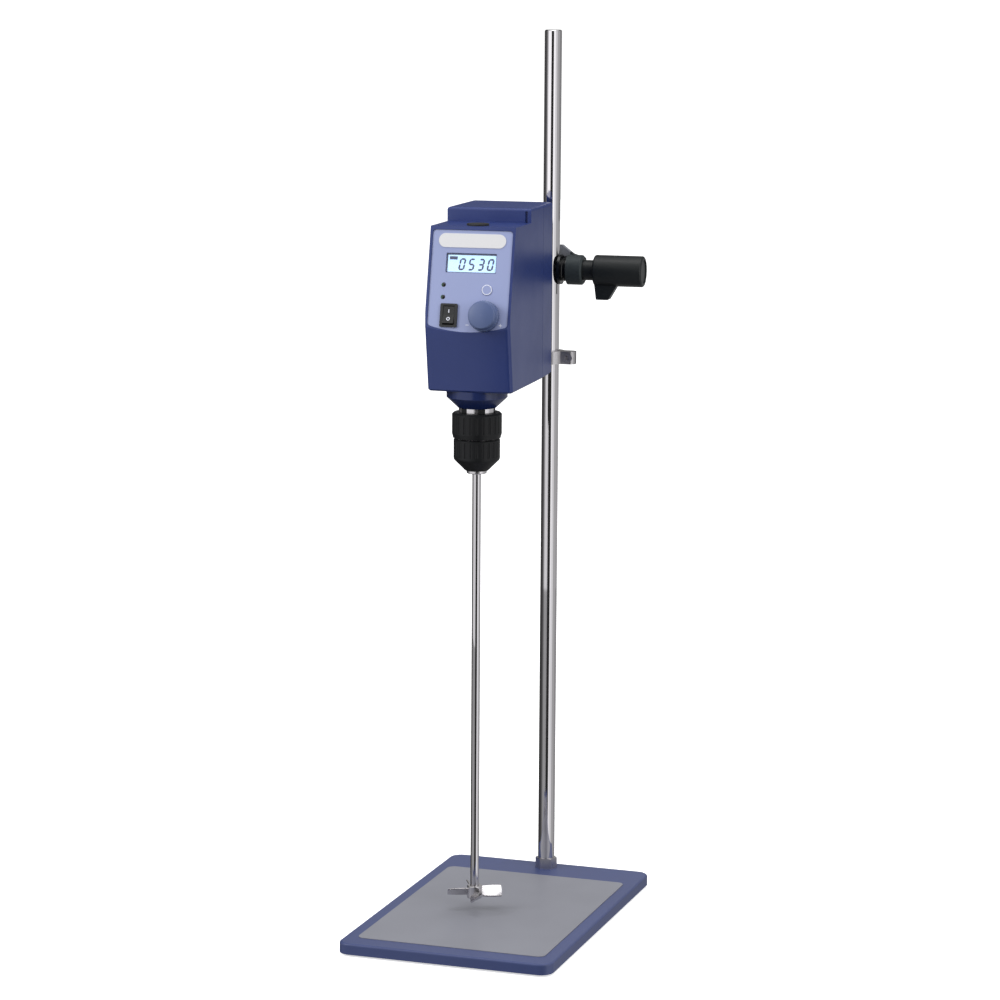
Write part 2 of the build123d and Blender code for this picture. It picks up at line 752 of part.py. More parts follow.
def label_plate():
    outline = SlotOverall(label_length, label_height)
    return face_prism(outline, panel_face_w, panel_face_w + label_thickness, 0, drop_to_v(label_drop))


def display_lens():
    outline = RectangleRounded(
        display_length - 2 * seat_gap, display_height - 2 * seat_gap, display_corner - seat_gap
    )
    return face_prism(outline, panel_floor_w, panel_floor_w + display_lens_thickness, 0, drop_to_v(display_drop))


def display_module():
    v = drop_to_v(display_drop)
    glass_length = display_length - 2 * display_sill - 2 * seat_gap
    glass_height = display_height - 2 * display_sill - 2 * seat_gap
    glass_outline = RectangleRounded(glass_length, glass_height, display_corner)
    glass = face_prism(glass_outline, board_top_w, panel_floor_w, 0, v)
    carrier = Rectangle(display_length + 6, display_height + 4)
    return glass + face_prism(carrier, board_top_w, face_inner_w - free_gap, 0, v)


def indicator_leds():
    leds = []
    for drop in led_drops:
        stem = cylinder_z(led_diameter / 2, board_top_w, panel_face_w - board_top_w)
        dome = Pos(0, 0, panel_face_w - 0.9) * Sphere(led_diameter / 2)
        leds.append(on_face(stem + dome, led_column, drop_to_v(drop)))
    return leds


def menu_button():
    flange_top = face_inner_w - free_gap
    cap = cylinder_z(menu_button_diameter / 2, flange_top, panel_face_w + menu_button_proud - flange_top)
    cap = fillet(cap.faces().sort_by(Axis.Z)[-1].edges(), 0.5)
    flange = cylinder_z(menu_button_diameter / 2 + 1.5, flange_top - 0.8, 0.8)
    return on_face(cap + flange, menu_button_column, drop_to_v(menu_button_drop))


def button_contact():
    """Contact switch under the menu button, standing on the board."""
    plunger_top = face_inner_w - free_gap - 0.8 - menu_button_travel - 0.1
    plunger = cylinder_z(1.75, board_top_w, plunger_top - board_top_w)
    body = Pos(0, 0, board_top_w + 1.5) * Box(6, 6, 3)
    return on_face(body + plunger, menu_button_column, drop_to_v(menu_button_drop))


def speed_encoder():
    """Encoder that reads the speed knob: body on the board, bush through the panel."""
    body = Pos(0, 0, (board_top_w + face_inner_w - free_gap) / 2)
    body *= Box(14, 14, face_inner_w - free_gap - board_top_w)
    bush = cylinder_z(speed_bush_diameter / 2, board_top_w, panel_face_w + 1.5 - board_top_w)
    encoder = body + bush - cylinder_z(speed_shaft_diameter / 2 + running_gap, board_top_w + 1, 30)
    return on_face(encoder, speed_knob_column, drop_to_v(speed_knob_drop))


speed_knob_base_w = panel_face_w + 2.2
encoder_shaft_top = speed_knob_base_w + speed_knob_height - 4.0


def encoder_shaft():
    bottom = board_top_w + 1 + running_gap
    shaft = cylinder_z(speed_shaft_diameter / 2, bottom, encoder_shaft_top - bottom)
    shaft -= block((speed_shaft_diameter / 2 - 0.8, 5), (-5, 5), (speed_knob_base_w + 2, encoder_shaft_top + 1))
    return on_face(shaft, speed_knob_column, drop_to_v(speed_knob_drop))


def speed_knob():
    """Domed knob on a ribbed skirt, bored for the shaft and hollow over the bush."""
    face_radius = speed_knob_face_diameter / 2
    skirt_radius = speed_knob_skirt_diameter / 2
    base = speed_knob_base_w
    skirt_top = base + speed_knob_skirt_height
    top = base + speed_knob_height
    edge_level = top - speed_knob_dome
    dome_rim = (face_radius - 1.6, edge_level + 0.3)
    dome_height = top - dome_rim[1]
    dome_radius = (dome_rim[0] ** 2 + dome_height ** 2) / (2 * dome_height)
    half_way = dome_rim[0] / 2
    half_way_level = top - dome_radius + sqrt(dome_radius ** 2 - half_way ** 2)
    bush_room = speed_bush_diameter / 2 + free_gap
    bore = speed_shaft_diameter / 2 + running_gap
    bore_top = encoder_shaft_top + free_gap
    outline = make_face([
        Line((bush_room, base), (skirt_radius, base)),
        Line((skirt_radius, base), (skirt_radius - 0.2, skirt_top)),
        Line((skirt_radius - 0.2, skirt_top), (face_radius + 0.4, skirt_top + 0.6)),
        Line((face_radius + 0.4, skirt_top + 0.6), (face_radius, edge_level - 1.2)),
        ThreePointArc((face_radius, edge_level - 1.2), (face_radius - 0.5, edge_level - 0.2), dome_rim),
        ThreePointArc(dome_rim, (half_way, half_way_level), (0, top)),
        Line((0, top), (0, bore_top)),
        Line((0, bore_top), (bore, bore_top)),
        Line((bore, bore_top), (bore, base + 1.0)),
        Line((bore, base + 1.0), (bush_room, base + 1.0)),
        Line((bush_room, base + 1.0), (bush_room, base)),
    ])
    knob = revolve(Plane.XZ.location * outline, Axis.Z, 360)
    rib_height = speed_knob_skirt_height + 2
    rib = Pos(skirt_radius + 0.2, 0, base + rib_height / 2 - 1) * Cylinder(speed_knob_rib, rib_height)
    knob -= [Rot(0, 0, index * 360 / speed_knob_rib_count) * rib for index in range(speed_knob_rib_count)]
    return on_face(knob, speed_knob_column, drop_to_v(speed_knob_drop))


switch_inner_width = rocker_width + 2 * 0.25
switch_inner_height = rocker_length + 2 * 0.9
rocker_pivot_w = panel_face_w - 0.6


def switch_frame():
    rim_top = panel_face_w + switch_rim_proud
    rim = extrude(RectangleRounded(switch_width, switch_height, 1.2), switch_rim_proud)
    frame = Pos(0, 0, panel_face_w) * rim
    body = Rectangle(switch_width - 2 * switch_rim, switch_height - 2 * switch_rim)
    frame += Pos(0, 0, panel_face_w - switch_body_depth) * extrude(body, switch_body_depth)
    well = Rectangle(switch_inner_width, switch_inner_height)
    well_floor = rocker_pivot_w - 6.0
    frame -= Pos(0, 0, well_floor) * extrude(well, rim_top + 1 - well_floor)
    pin_hole = cylinder_x(rocker_pivot_diameter / 2 + running_gap, -rocker_width / 2 - 1, rocker_width / 2 + 1, 0, rocker_pivot_w)
    frame -= pin_hole
    for side in (-1, 1):
        terminal = block((-2.4, 2.4), (side * 5 - 0.4, side * 5 + 0.4), (panel_face_w - switch_body_depth - 7, panel_face_w - switch_body_depth))
        frame += terminal
    return on_face(frame, switch_column, drop_to_v(switch_drop))


def power_rocker():
    half = rocker_length / 2
    outline = Polyline(
        (-half, 2.6), (0, 1.5), (half, 2.6), (half, -0.2), (2.5, -4.2), (-2.5, -4.2), (-half, -0.2), close=True
    )
    side_plane = Plane(origin=(-rocker_width / 2, 0, 0), x_dir=(0, 1, 0), z_dir=(1, 0, 0))
    rocker = extrude(side_plane.location * make_face(outline), rocker_width, dir=(1, 0, 0))
    pin_reach = rocker_width / 2 + 0.8
    rocker += cylinder_x(rocker_pivot_diameter / 2, -pin_reach, pin_reach, 0, 0)
    rocker = Pos(0, 0, rocker_pivot_w) * Rot(-rocker_rest_angle, 0, 0) * rocker
    return on_face(rocker, switch_column, drop_to_v(switch_drop))


def circuit_board():
    half = panel_half_width - 5
    top = panel_top_v - 6
    bottom = panel_bottom_v + 5
    middle = (top + bottom) / 2
    board = face_prism(Rectangle(2 * half, top - bottom), board_top_w - board_thickness, board_top_w, 0, middle)
    notch = Rectangle(switch_width + 2, switch_height + 20)
    return board - face_prism(
        notch, board_top_w - board_thickness - 1, board_top_w + 1, switch_column, drop_to_v(switch_drop) - 8
    )


# ---- shaft passage plug ----------------------------------------------------------------------
def passage_plug():
    head = cylinder_z(plug_head_diameter / 2, housing_ledge, plug_head_height, spindle)
    head = fillet(head.faces().sort_by(Axis.Z)[-1].edges(), 0.8)
    return head + cylinder_z(plug_stem_diameter / 2, housing_ledge - plug_stem_length, plug_stem_length, spindle)


# ---- drive ---------------------------------------------------------------------------------
frame_tube_radius = bearing_outer_diameter / 2 + bearing_housing_wall
frame_plate_top = frame_plate_level + frame_plate_thickness
arm_inner_y = motor_axis[1] + 18.0
frame_foot = housing_bottom + housing_wall


def drive_frame():
    """Cast frame: bearing tube, motor plate and the post that holds the arm."""
    tube = cylinder_z(frame_tube_radius, frame_foot, frame_plate_top - frame_foot, spindle)
    plate_front = spindle_y - frame_tube_radius
    post_rear = housing_rear - housing_wall - 2.0
    plate_x = (arm_x - frame_plate_width / 2, arm_x + frame_plate_width / 2)
    plate = block(plate_x, (plate_front + 6, post_rear), (frame_plate_level, frame_plate_top))
    plate = fillet(plate.edges().filter_by(Axis.Z).group_by(Axis.Y)[0], 12.0)
    foot = block(plate_x, (plate_front + 6, spindle_y + 24), (frame_foot, frame_foot + 4))
    foot = fillet(foot.edges().filter_by(Axis.Z), 8.0)
    post = block((arm_x - 20, arm_x + 20), (post_rear - 8, post_rear), (frame_plate_level, clamp_level + 18))
    frame = tube + plate + foot + post
    frame += cylinder_y(arm_radius + 7, arm_inner_y, post_rear, arm_x, clamp_level)
    for side in (-1, 1):
        x = arm_x + side * 16
        gusset_outline = Polyline(
            (post_rear - 8, frame_plate_top), (post_rear - 26, frame_plate_top), (post_rear - 8, clamp_level + 10), close=True
        )
        gusset_plane = Plane(origin=(x - 2, 0, 0), x_dir=(0, 1, 0), z_dir=(1, 0, 0))
        frame += extrude(gusset_plane.location * make_face(gusset_outline), 4, dir=(1, 0, 0))
    frame -= cylinder_y(arm_radius + running_gap, arm_inner_y - 1, post_rear + 1, arm_x, clamp_level)
    bearing_room = bearing_outer_diameter / 2 + running_gap
    frame -= cylinder_z(bearing_room, frame_foot - 1, lower_bearing_level + bearing_width - frame_foot + 1, spindle)
    frame -= cylinder_z(bearing_room, upper_bearing_level, frame_plate_top - upper_bearing_level + 1, spindle)
    frame -= cylinder_z(spindle_diameter / 2 + 3, frame_foot, frame_plate_top - frame_foot, spindle)
    frame -= cylinder_z(motor_shaft_diameter / 2 + 4, frame_plate_level - 1, frame_plate_thickness + 2, motor_axis)
    return frame


def bearing(level):
    """Ball bearing with its grooved faces, closed by seals."""
    outer = bearing_outer_diameter / 2
    inner = spindle_diameter / 2 + running_gap
    race = 2.4
    groove = 0.6
    top = level + bearing_width
    return turned([
        (inner, level), (inner + race, level), (inner + race, level + groove), (outer - race, level + groove),
        (outer - race, level), (outer, level), (outer, top), (outer - race, top),
        (outer - race, top - groove), (inner + race, top - groove), (inner + race, top), (inner, top),
    ], spindle)


def neck_collar():
    """Bearing cover under the housing: flange, cone and a bore that clears the spindle."""
    outer = neck_diameter / 2
    tip = neck_tip_diameter / 2
    bore = spindle_diameter / 2 + 0.4
    rim = neck_hole_radius - seat_gap
    return turned([
        (bore, neck_tip), (tip, neck_tip), (outer - 1.0, neck_flange_bottom), (outer, neck_flange_bottom + 1.0),
        (outer, housing_bottom), (rim, housing_bottom), (rim, frame_foot), (bore, frame_foot),
    ], spindle)


def spindle_shaft():
    """Hollow spindle: bearing seats above, chuck nose below, bored right through."""
    bore = spindle_bore_diameter / 2
    seat = spindle_diameter / 2
    nose = spindle_nose_diameter / 2
    shoulder = chuck_top + 0.2
    nose_end = jaw_top_level + 6.0
    return turned([
        (bore, nose_end), (nose, nose_end), (nose, shoulder), (seat, shoulder), (seat, spindle_top), (bore, spindle_top),
    ], spindle)


def spindle_lock_ring():
    """Slotted ring that locks the chuck against the spindle."""
    top = neck_tip - free_gap
    height = top - chuck_top - 0.1
    lock = ring(lock_ring_diameter / 2, spindle_diameter / 2 + running_gap, top - height, height, spindle)
    reach = lock_ring_diameter / 2 - lock_ring_slot_depth
    notch = Pos(reach + 5, 0, top - height / 2) * Box(10, lock_ring_slot_width, height + 2)
    for index in range(lock_ring_slots):
        lock -= Pos(spindle[0], spindle[1], 0) * Rot(0, 0, index * 360 / lock_ring_slots - 60) * notch
    return lock


def pulley(diameter, bore_diameter, at):
    """Flanged belt pulley."""
    rim = diameter / 2
    flange = rim + belt_thickness + 0.6
    bore = bore_diameter / 2 + running_gap
    bottom = pulley_level
    top = pulley_level + pulley_width
    return turned([
        (bore, bottom), (flange, bottom), (flange, bottom + pulley_flange), (rim, bottom + pulley_flange),
        (rim, top - pulley_flange), (flange, top - pulley_flange), (flange, top), (bore, top),
    ], at)


def drive_belt():
    """Closed belt that runs round both pulleys."""
    big = spindle_pulley_diameter / 2 + free_gap
    small = motor_pulley_diameter / 2 + free_gap
    level = pulley_level + (pulley_width - belt_width) / 2
    loops = []
    for extra in (belt_thickness, 0):
        circles = [Pos(*spindle) * Circle(big + extra), Pos(*motor_axis) * Circle(small + extra)]
        loops.append(make_hull(circles[0].edges() + circles[1].edges()))
    return Pos(0, 0, level) * extrude(loops[0] - loops[1], belt_width)


def drive_motor():
    """Flat motor that hangs under the frame plate, with a ribbed can."""
    top = frame_plate_level
    can = cylinder_z(motor_diameter / 2, top - motor_height, motor_height, motor_axis)
    can = fillet(can.faces().sort_by(Axis.Z)[0].edges(), 3.0)
    boss = cylinder_z(motor_shaft_diameter / 2 + 3.5, top, 3.0, motor_axis)
    return can + boss - cylinder_z(motor_shaft_diameter / 2 + running_gap, top - motor_height + 6, 80, motor_axis)


def motor_shaft():
    bottom = frame_plate_level - motor_height + 6 + running_gap
    return cylinder_z(motor_shaft_diameter / 2, bottom, pulley_level + pulley_width - bottom, motor_axis)


# ---- arm -----------------------------------------------------------------------------------
def support_arm():
    arm = cylinder_y(arm_radius, arm_inner_y, arm_end_y, arm_x, clamp_level)
    return chamfer(arm.faces().sort_by(Axis.Y)[-1].edges(), arm_tip_round)


def arm_flange():
    """Cover ring where the arm leaves the rear shell."""
    outer = cylinder_y(arm_flange_diameter / 2, housing_rear, housing_rear + arm_flange_thickness, arm_x, clamp_level)
    outer = chamfer(outer.faces().sort_by(Axis.Y)[-1].edges(), 1.0)
    return outer - cylinder_y(arm_radius + running_gap, housing_rear - 1, housing_rear + 10, arm_x, clamp_level)


# ---- chuck ---------------------------------------------------------------------------------
nose_radius = chuck_nose_diameter / 2
nose_top = chuck_tip + chuck_nose_length
sleeve_inner_radius = chuck_lower_diameter / 2 - chuck_sleeve_wall
jaw_slope = tan(radians(jaw_angle))
jaw_axis_tip = stirrer_shaft_diameter / 2 - jaw_grip_depth
core_land_level = nose_top + 9.0
jaw_ring_level = chuck_lower_top - jaw_ring_height - 1.2
sleeve_tip_radius = nose_radius + 1.4
cone_level = nose_top + chuck_lower_diameter / 2 - sleeve_tip_radius


def jaw_axis_radius(level):
    """Distance of a jaw's axis from the spindle axis at a level."""
    return jaw_axis_tip + (level - jaw_tip_level) * jaw_slope


core_radius = jaw_axis_radius(jaw_ring_level) + jaw_diameter / 2 / cos(radians(jaw_angle)) + jaw_cover


def jaw_places():
    return [index * 360 / jaw_count + 30 for index in range(jaw_count)]


def jaw_cylinder(radius, extra):
    """Inclined cylinder that holds one jaw or bores its slot, in the plane y = 0."""
    length = (jaw_top_level - jaw_tip_level) / cos(radians(jaw_angle)) + 2 * extra
    middle = (jaw_top_level + jaw_tip_level) / 2
    return Pos(jaw_axis_radius(middle), 0, middle) * Rot(0, jaw_angle, 0) * Cylinder(radius, length)


def around_spindle(shape, angle):
    return Pos(spindle[0], spindle[1], 0) * Rot(0, 0, angle) * shape


def chuck_core():
    """Chuck body: nose, cone, land for the sleeve and a flange, with inclined jaw bores."""
    bore = spindle_bore_diameter / 2
    nose_bore = spindle_nose_diameter / 2 + running_gap
    flange = chuck_upper_diameter / 2 - chuck_sleeve_wall - running_gap
    nose_end = jaw_top_level + 6.0 - 0.1
    core = turned([
        (bore, chuck_tip), (nose_radius - 0.6, chuck_tip), (nose_radius, chuck_tip + 0.6), (nose_radius, nose_top),
        (core_radius, core_land_level), (core_radius, chuck_upper_bottom + 0.4), (flange, chuck_upper_bottom + 0.4),
        (flange, chuck_top - 2.0), (nose_bore, chuck_top - 2.0), (nose_bore, nose_end), (bore, nose_end),
    ], spindle)
    for angle in jaw_places():
        core -= around_spindle(jaw_cylinder(jaw_diameter / 2 + running_gap, 12.0), angle)
    return core


def fluted(sleeve, radius, bottom, top):
    """Cut shallow grip flutes round a sleeve."""
    flute = Pos(radius + 1.0, 0, (bottom + top) / 2) * Cylinder(1.0 + chuck_flute_depth, top - bottom)
    count = chuck_flute_count
    return sleeve - [around_spindle(flute, index * 360 / count) for index in range(count)]


def chuck_upper_sleeve():
    """Holding sleeve fixed to the chuck body."""
    outer = chuck_upper_diameter / 2
    inner = outer - chuck_sleeve_wall
    bottom = chuck_upper_bottom
    sleeve = turned([
        (inner, bottom), (outer - chuck_taper, bottom), (outer, bottom + chuck_taper_height),
        (outer, chuck_top - 1.5), (outer - 1.5, chuck_top),
        (spindle_diameter / 2 + 1.0, chuck_top), (spindle_diameter / 2 + 1.0, chuck_top - 1.9), (inner, chuck_top - 1.9),
    ], spindle)
    return fluted(sleeve, outer, bottom + chuck_taper_height + 1.0, chuck_top - 2.5)


def chuck_lower_sleeve():
    """Gripping sleeve that turns on the chuck body and closes over the jaws."""
    outer = chuck_lower_diameter / 2
    land = core_radius + running_gap
    slope_gap = 0.35
    top = chuck_lower_top
    rounding = chuck_cone_round
    tangent = rounding * tan(pi / 8)
    cone_end = (outer - tangent * cos(pi / 4), cone_level - tangent * sin(pi / 4))
    round_middle = (outer - rounding + rounding * cos(pi / 8), cone_level + tangent - rounding * sin(pi / 8))
    round_end = (outer, cone_level + tangent)
    profile = make_face([
        Line((nose_radius + slope_gap, nose_top), (sleeve_tip_radius, nose_top)),
        Line((sleeve_tip_radius, nose_top), cone_end),
        ThreePointArc(cone_end, round_middle, round_end),
        Line(round_end, (outer, top - 1.0)),
        Line((outer, top - 1.0), (outer - 1.0, top)),
        Line((outer - 1.0, top), (sleeve_inner_radius, top)),
        Line((sleeve_inner_radius, top), (sleeve_inner_radius, jaw_ring_level)),
        Line((sleeve_inner_radius, jaw_ring_level), (land, jaw_ring_level)),
        Line((land, jaw_ring_level), (land, core_land_level)),
        Line((land, core_land_level), (nose_radius + slope_gap, nose_top)),
    ])
    sleeve = Pos(spindle[0], spindle[1], 0) * revolve(Plane.XZ.location * profile, Axis.Z, 360)
    return fluted(sleeve, outer, cone_level + tangent + 1.0, top - 2.0)


def jaw_drive_ring():
    """Threaded ring pressed into the gripping sleeve, which draws the jaws along."""
    bottom = jaw_ring_level
    top = bottom + jaw_ring_height
    outer = sleeve_inner_radius - running_gap
    reach = jaw_diameter / 2 / cos(radians(jaw_angle)) + 0.2
    low_inner = max(core_radius + 0.2, jaw_axis_radius(bottom) + reach)
    high_inner = max(core_radius + 0.2, jaw_axis_radius(top) + reach)
    return turned([(low_inner, bottom), (outer, bottom), (outer, top), (high_inner, top)], spindle)


def chuck_jaw(angle):
    """One hardened jaw: inclined pin with a flat that grips the shaft."""
    jaw = jaw_cylinder(jaw_diameter / 2, 4.0)
    grip = stirrer_shaft_diameter / 2 + running_gap
    tall = jaw_top_level - jaw_tip_level
    keep = block((grip, 3 * core_radius), (-jaw_diameter, jaw_diameter), (jaw_tip_level, jaw_tip_level + tall))
    return around_spindle(jaw & keep, angle)


# ---- stirrer -------------------------------------------------------------------------------
def stirrer_shaft():
    shaft = cylinder_z(stirrer_shaft_diameter / 2, stirrer_foot_level, stirrer_shaft_length, spindle)
    ends = shaft.faces().filter_by(GeomType.PLANE).sort_by(Axis.Z)
    return chamfer(ends[0].edges() + ends[-1].edges(), 0.6)


def propeller():
    """Hub with pitched blades; each blade is a thin aerofoil lofted from root to tip."""
    hub_radius = propeller_hub_diameter / 2
    bottom = propeller_level - propeller_hub_height / 2
    hub = cylinder_z(hub_radius, bottom, propeller_hub_height)
    hub = fillet(hub.faces().sort_by(Axis.Z)[0].edges() + hub.faces().sort_by(Axis.Z)[-1].edges(), 1.0)
    sections = []
    tip_radius = propeller_diameter / 2
    span = tip_radius - hub_radius + 2.0
    for share in (0.0, 0.5, 1.0):
        radius = hub_radius - 2.0 + share * span
        chord = propeller_blade_chord * (0.72 + 0.42 * share - 0.24 * share ** 2)
        pitch = propeller_pitch_angle + 12 * (0.5 - share)
        station = Plane(origin=(radius, 0, propeller_level), x_dir=(0, 1, 0), z_dir=(1, 0, 0))
        section = station * Rot(0, 0, pitch) * SlotOverall(chord, propeller_blade_thickness)
        sections.append(section)
    blade = loft(sections)
    blade &= cylinder_z(tip_radius, bottom - 20, 60)
    count = propeller_blade_count
    wheel = hub + [Rot(0, 0, index * 360 / count + 20) * blade for index in range(count)]
    wheel -= cylinder_z(stirrer_shaft_diameter / 2 + running_gap, bottom - 20, 60)
    wheel -= Rot(0, 0, 20 + 180 / count) * hub_screw_hole()
    return Pos(spindle[0], spindle[1], 0) * wheel


def hub_screw_hole():
    """Radial screw hole in the hub, along +X before it is turned to its place."""
    radius = hub_screw_diameter / 2 + running_gap
    return cylinder_x(radius, 0, propeller_hub_diameter, 0, propeller_level)


def hub_screw():
    start = stirrer_shaft_diameter / 2 + running_gap
    end = propeller_hub_diameter / 2 - 0.2
    screw = cylinder_x(hub_screw_diameter / 2, start, end, 0, propeller_level)
    socket = Pos(end - 1.2, 0, propeller_level) * Rot(0, 90, 0) * extrude(RegularPolygon(0.75, 6, major_radius=False), 3)
    angle = 20 + 180 / propeller_blade_count
    return around_spindle(screw - socket, angle)


# ---- power inlet ---------------------------------------------------------------------------
def power_inlet():
    """Chassis socket for a mains lead: flange, body and a D-shaped well."""
    rear = housing_rear
    flange_plane = Plane(origin=(arm_x, rear, inlet_level), x_dir=(-1, 0, 0), z_dir=(0, 1, 0))
    flange_outline = RectangleRounded(inlet_flange_width, inlet_flange_height, 5.0)
    inlet = flange_plane.location * extrude(flange_outline, inlet_flange_thickness)
    body_outline = Rectangle(inlet_body_width, inlet_body_height)
    inlet += flange_plane.location * Pos(0, 0, -inlet_body_depth) * extrude(body_outline, inlet_body_depth)
    well_half = inlet_socket_width / 2
    well_side = inlet_socket_height / 2
    cut = 4.5
    well = make_face(Polyline(
        (-well_half, -well_side), (well_half, -well_side), (well_half, well_side - cut),
        (well_half - cut, well_side), (-well_half + cut, well_side), (-well_half, well_side - cut), close=True,
    ))
    floor = inlet_flange_thickness - inlet_socket_depth
    inlet -= flange_plane.location * Pos(0, 0, floor) * extrude(well, inlet_socket_depth + 1)
    for side in (-1, 1):
        x = arm_x + side * inlet_screw_pitch / 2
        inlet -= cylinder_y(case_screw_diameter / 2 + seat_gap, rear - 5, rear + 5, x, inlet_level)
    return inlet


def inlet_pins():
    floor_y = housing_rear + inlet_flange_thickness - inlet_socket_depth
    pins = []
    for offset_x, offset_z in ((-inlet_pin_pitch, -2.0), (0, 2.0), (inlet_pin_pitch, -2.0)):
        x = arm_x + offset_x
        z = inlet_level + offset_z
        width = (x - inlet_pin_thickness / 2, x + inlet_pin_thickness / 2)
        height = (z - inlet_pin_width / 2, z + inlet_pin_width / 2)
        pins.append(block(width, (floor_y, floor_y + inlet_pin_length), height))
    return pins


def inlet_screws():
    screws = []
    face = housing_rear + inlet_flange_thickness
    for side in (-1, 1):
        x = arm_x + side * inlet_screw_pitch / 2
        head = cylinder_y(case_screw_head_diameter / 2, face, face + 1.6, x, inlet_level)
        head = fillet(head.faces().sort_by(Axis.Y)[-1].edges(), 0.8)
        screws.append(head + cylinder_y(case_screw_diameter / 2, face - 8, face, x, inlet_level))
    return screws


# ---- write every piece -----------------------------------------------------------------------
def build():
    stand = {
        "base_plate": base_plate(),
        "non_slip_mat": non_slip_mat(),
        "rubber_feet": rubber_feet(),
        "support_rod": support_rod(),
        "rod_hex_collar": rod_hex_collar(),
        "rod_lock_nut": rod_lock_nut(),
        "stop_collar": stop_collar(),
        "stop_collar_screw": stop_collar_screw(),
    }
    head = {
        "boss_head": boss_head(),
        "rod_clamp_pad": clamp_pad(rod_radius, 1),
        "rod_clamp_screw": clamp_screw(rod_radius, rod_boss_end, 1),
        "rod_clamp_knob": clamp_knob(rod_boss_end, rod_neck_length, rod_knob_grip_length, 1),
        "arm_clamp_pad": clamp_pad(arm_face_x, -1),
        "arm_clamp_screw": clamp_screw(arm_face_x, arm_boss_end, -1),
        "arm_clamp_knob": clamp_knob(arm_boss_end, arm_neck_length, arm_knob_grip_length, -1),
        "support_arm": support_arm(),
        "arm_flange": arm_flange(),
        "front_shell": front_shell(),
        "rear_shell": rear_shell(),
        "case_screws": case_screws(),
        "control_panel": control_panel(),
        "label_plate": label_plate(),
        "display_lens": display_lens(),
        "display_module": display_module(),
        "indicator_leds": indicator_leds(),
        "menu_button": menu_button(),
        "button_contact": button_contact(),
        "speed_encoder": speed_encoder(),
        "encoder_shaft": encoder_shaft(),
        "speed_knob": speed_knob(),
        "switch_frame": switch_frame(),
        "power_rocker": power_rocker(),
        "circuit_board": circuit_board(),
        "passage_plug": passage_plug(),
        "drive_frame": drive_frame(),
        "lower_bearing": bearing(lower_bearing_level),
        "upper_bearing": bearing(upper_bearing_level),
        "neck_collar": neck_collar(),
        "spindle": spindle_shaft(),
        "spindle_lock_ring": spindle_lock_ring(),
        "spindle_pulley": pulley(spindle_pulley_diameter, spindle_diameter, spindle),
        "motor_pulley": pulley(motor_pulley_diameter, motor_shaft_diameter, motor_axis),
        "drive_belt": drive_belt(),
        "drive_motor": drive_motor(),
        "motor_shaft": motor_shaft(),
        "chuck_core": chuck_core(),
        "chuck_upper_sleeve": chuck_upper_sleeve(),
        "chuck_lower_sleeve": chuck_lower_sleeve(),
        "jaw_drive_ring": jaw_drive_ring(),
        "stirrer_shaft": stirrer_shaft(),
        "propeller": propeller(),
        "hub_screw": hub_screw(),
        "power_inlet": power_inlet(),
        "inlet_pins": inlet_pins(),
        "inlet_screws": inlet_screws(),
    }
    for number, angle in enumerate(jaw_places(), start=1):
        head[f"chuck_jaw_{number}"] = chuck_jaw(angle)
    os.makedirs("parts", exist_ok=True)
    for name, shape in (stand | head).items():
        solids = shape if isinstance(shape, list) else [shape]
        if name in head:
            solids = [swung(solid) for solid in solids]
        piece = solids[0] if len(solids) == 1 else Compound(children=solids)
        export_step(piece, os.path.join("parts", name + ".step"))


build()
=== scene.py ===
"""Looks of a laboratory overhead stirrer.

Finishes for every piece, printed marks, threads, screw heads and the studio.
"""
import json
import math
import bmesh
import bpy
from bpy.props import (
    FloatProperty, FloatVectorProperty, IntProperty, PointerProperty, StringProperty,
)
from mathutils import Matrix, Vector
from mathutils.bvhtree import BVHTree


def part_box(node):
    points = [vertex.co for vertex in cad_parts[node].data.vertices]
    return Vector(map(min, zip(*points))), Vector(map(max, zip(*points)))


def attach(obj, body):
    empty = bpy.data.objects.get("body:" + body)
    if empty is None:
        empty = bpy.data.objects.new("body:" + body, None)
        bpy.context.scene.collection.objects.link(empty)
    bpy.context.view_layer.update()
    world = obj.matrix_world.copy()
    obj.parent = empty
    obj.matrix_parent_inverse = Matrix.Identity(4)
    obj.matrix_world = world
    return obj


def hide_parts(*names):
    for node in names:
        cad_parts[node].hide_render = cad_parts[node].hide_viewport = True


bl_info = {
    "name": "Overhead Stirrer Looks",
    "version": (1, 0, 0),
    "blender": (4, 5, 0),
    "location": "3D View > Sidebar > Stirrer",
    "description": "Finishes and small detail for a packed overhead stirrer",
    "category": "Object",
}

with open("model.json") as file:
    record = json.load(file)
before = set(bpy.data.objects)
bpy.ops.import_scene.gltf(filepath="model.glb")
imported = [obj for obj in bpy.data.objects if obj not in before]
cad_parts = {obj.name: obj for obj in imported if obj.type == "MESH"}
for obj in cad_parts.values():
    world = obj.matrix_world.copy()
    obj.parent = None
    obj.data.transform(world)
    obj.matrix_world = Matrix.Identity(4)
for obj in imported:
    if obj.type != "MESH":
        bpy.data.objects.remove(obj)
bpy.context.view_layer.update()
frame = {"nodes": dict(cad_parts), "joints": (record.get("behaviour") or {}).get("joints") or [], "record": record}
NODES = frame["nodes"]
JOINTS = {joint["name"]: joint for joint in frame["joints"]}
MM = 0.001
MARK_DROP = 20  # millimetres outside its surface that a mark is dropped from


# ---------------- places on the object

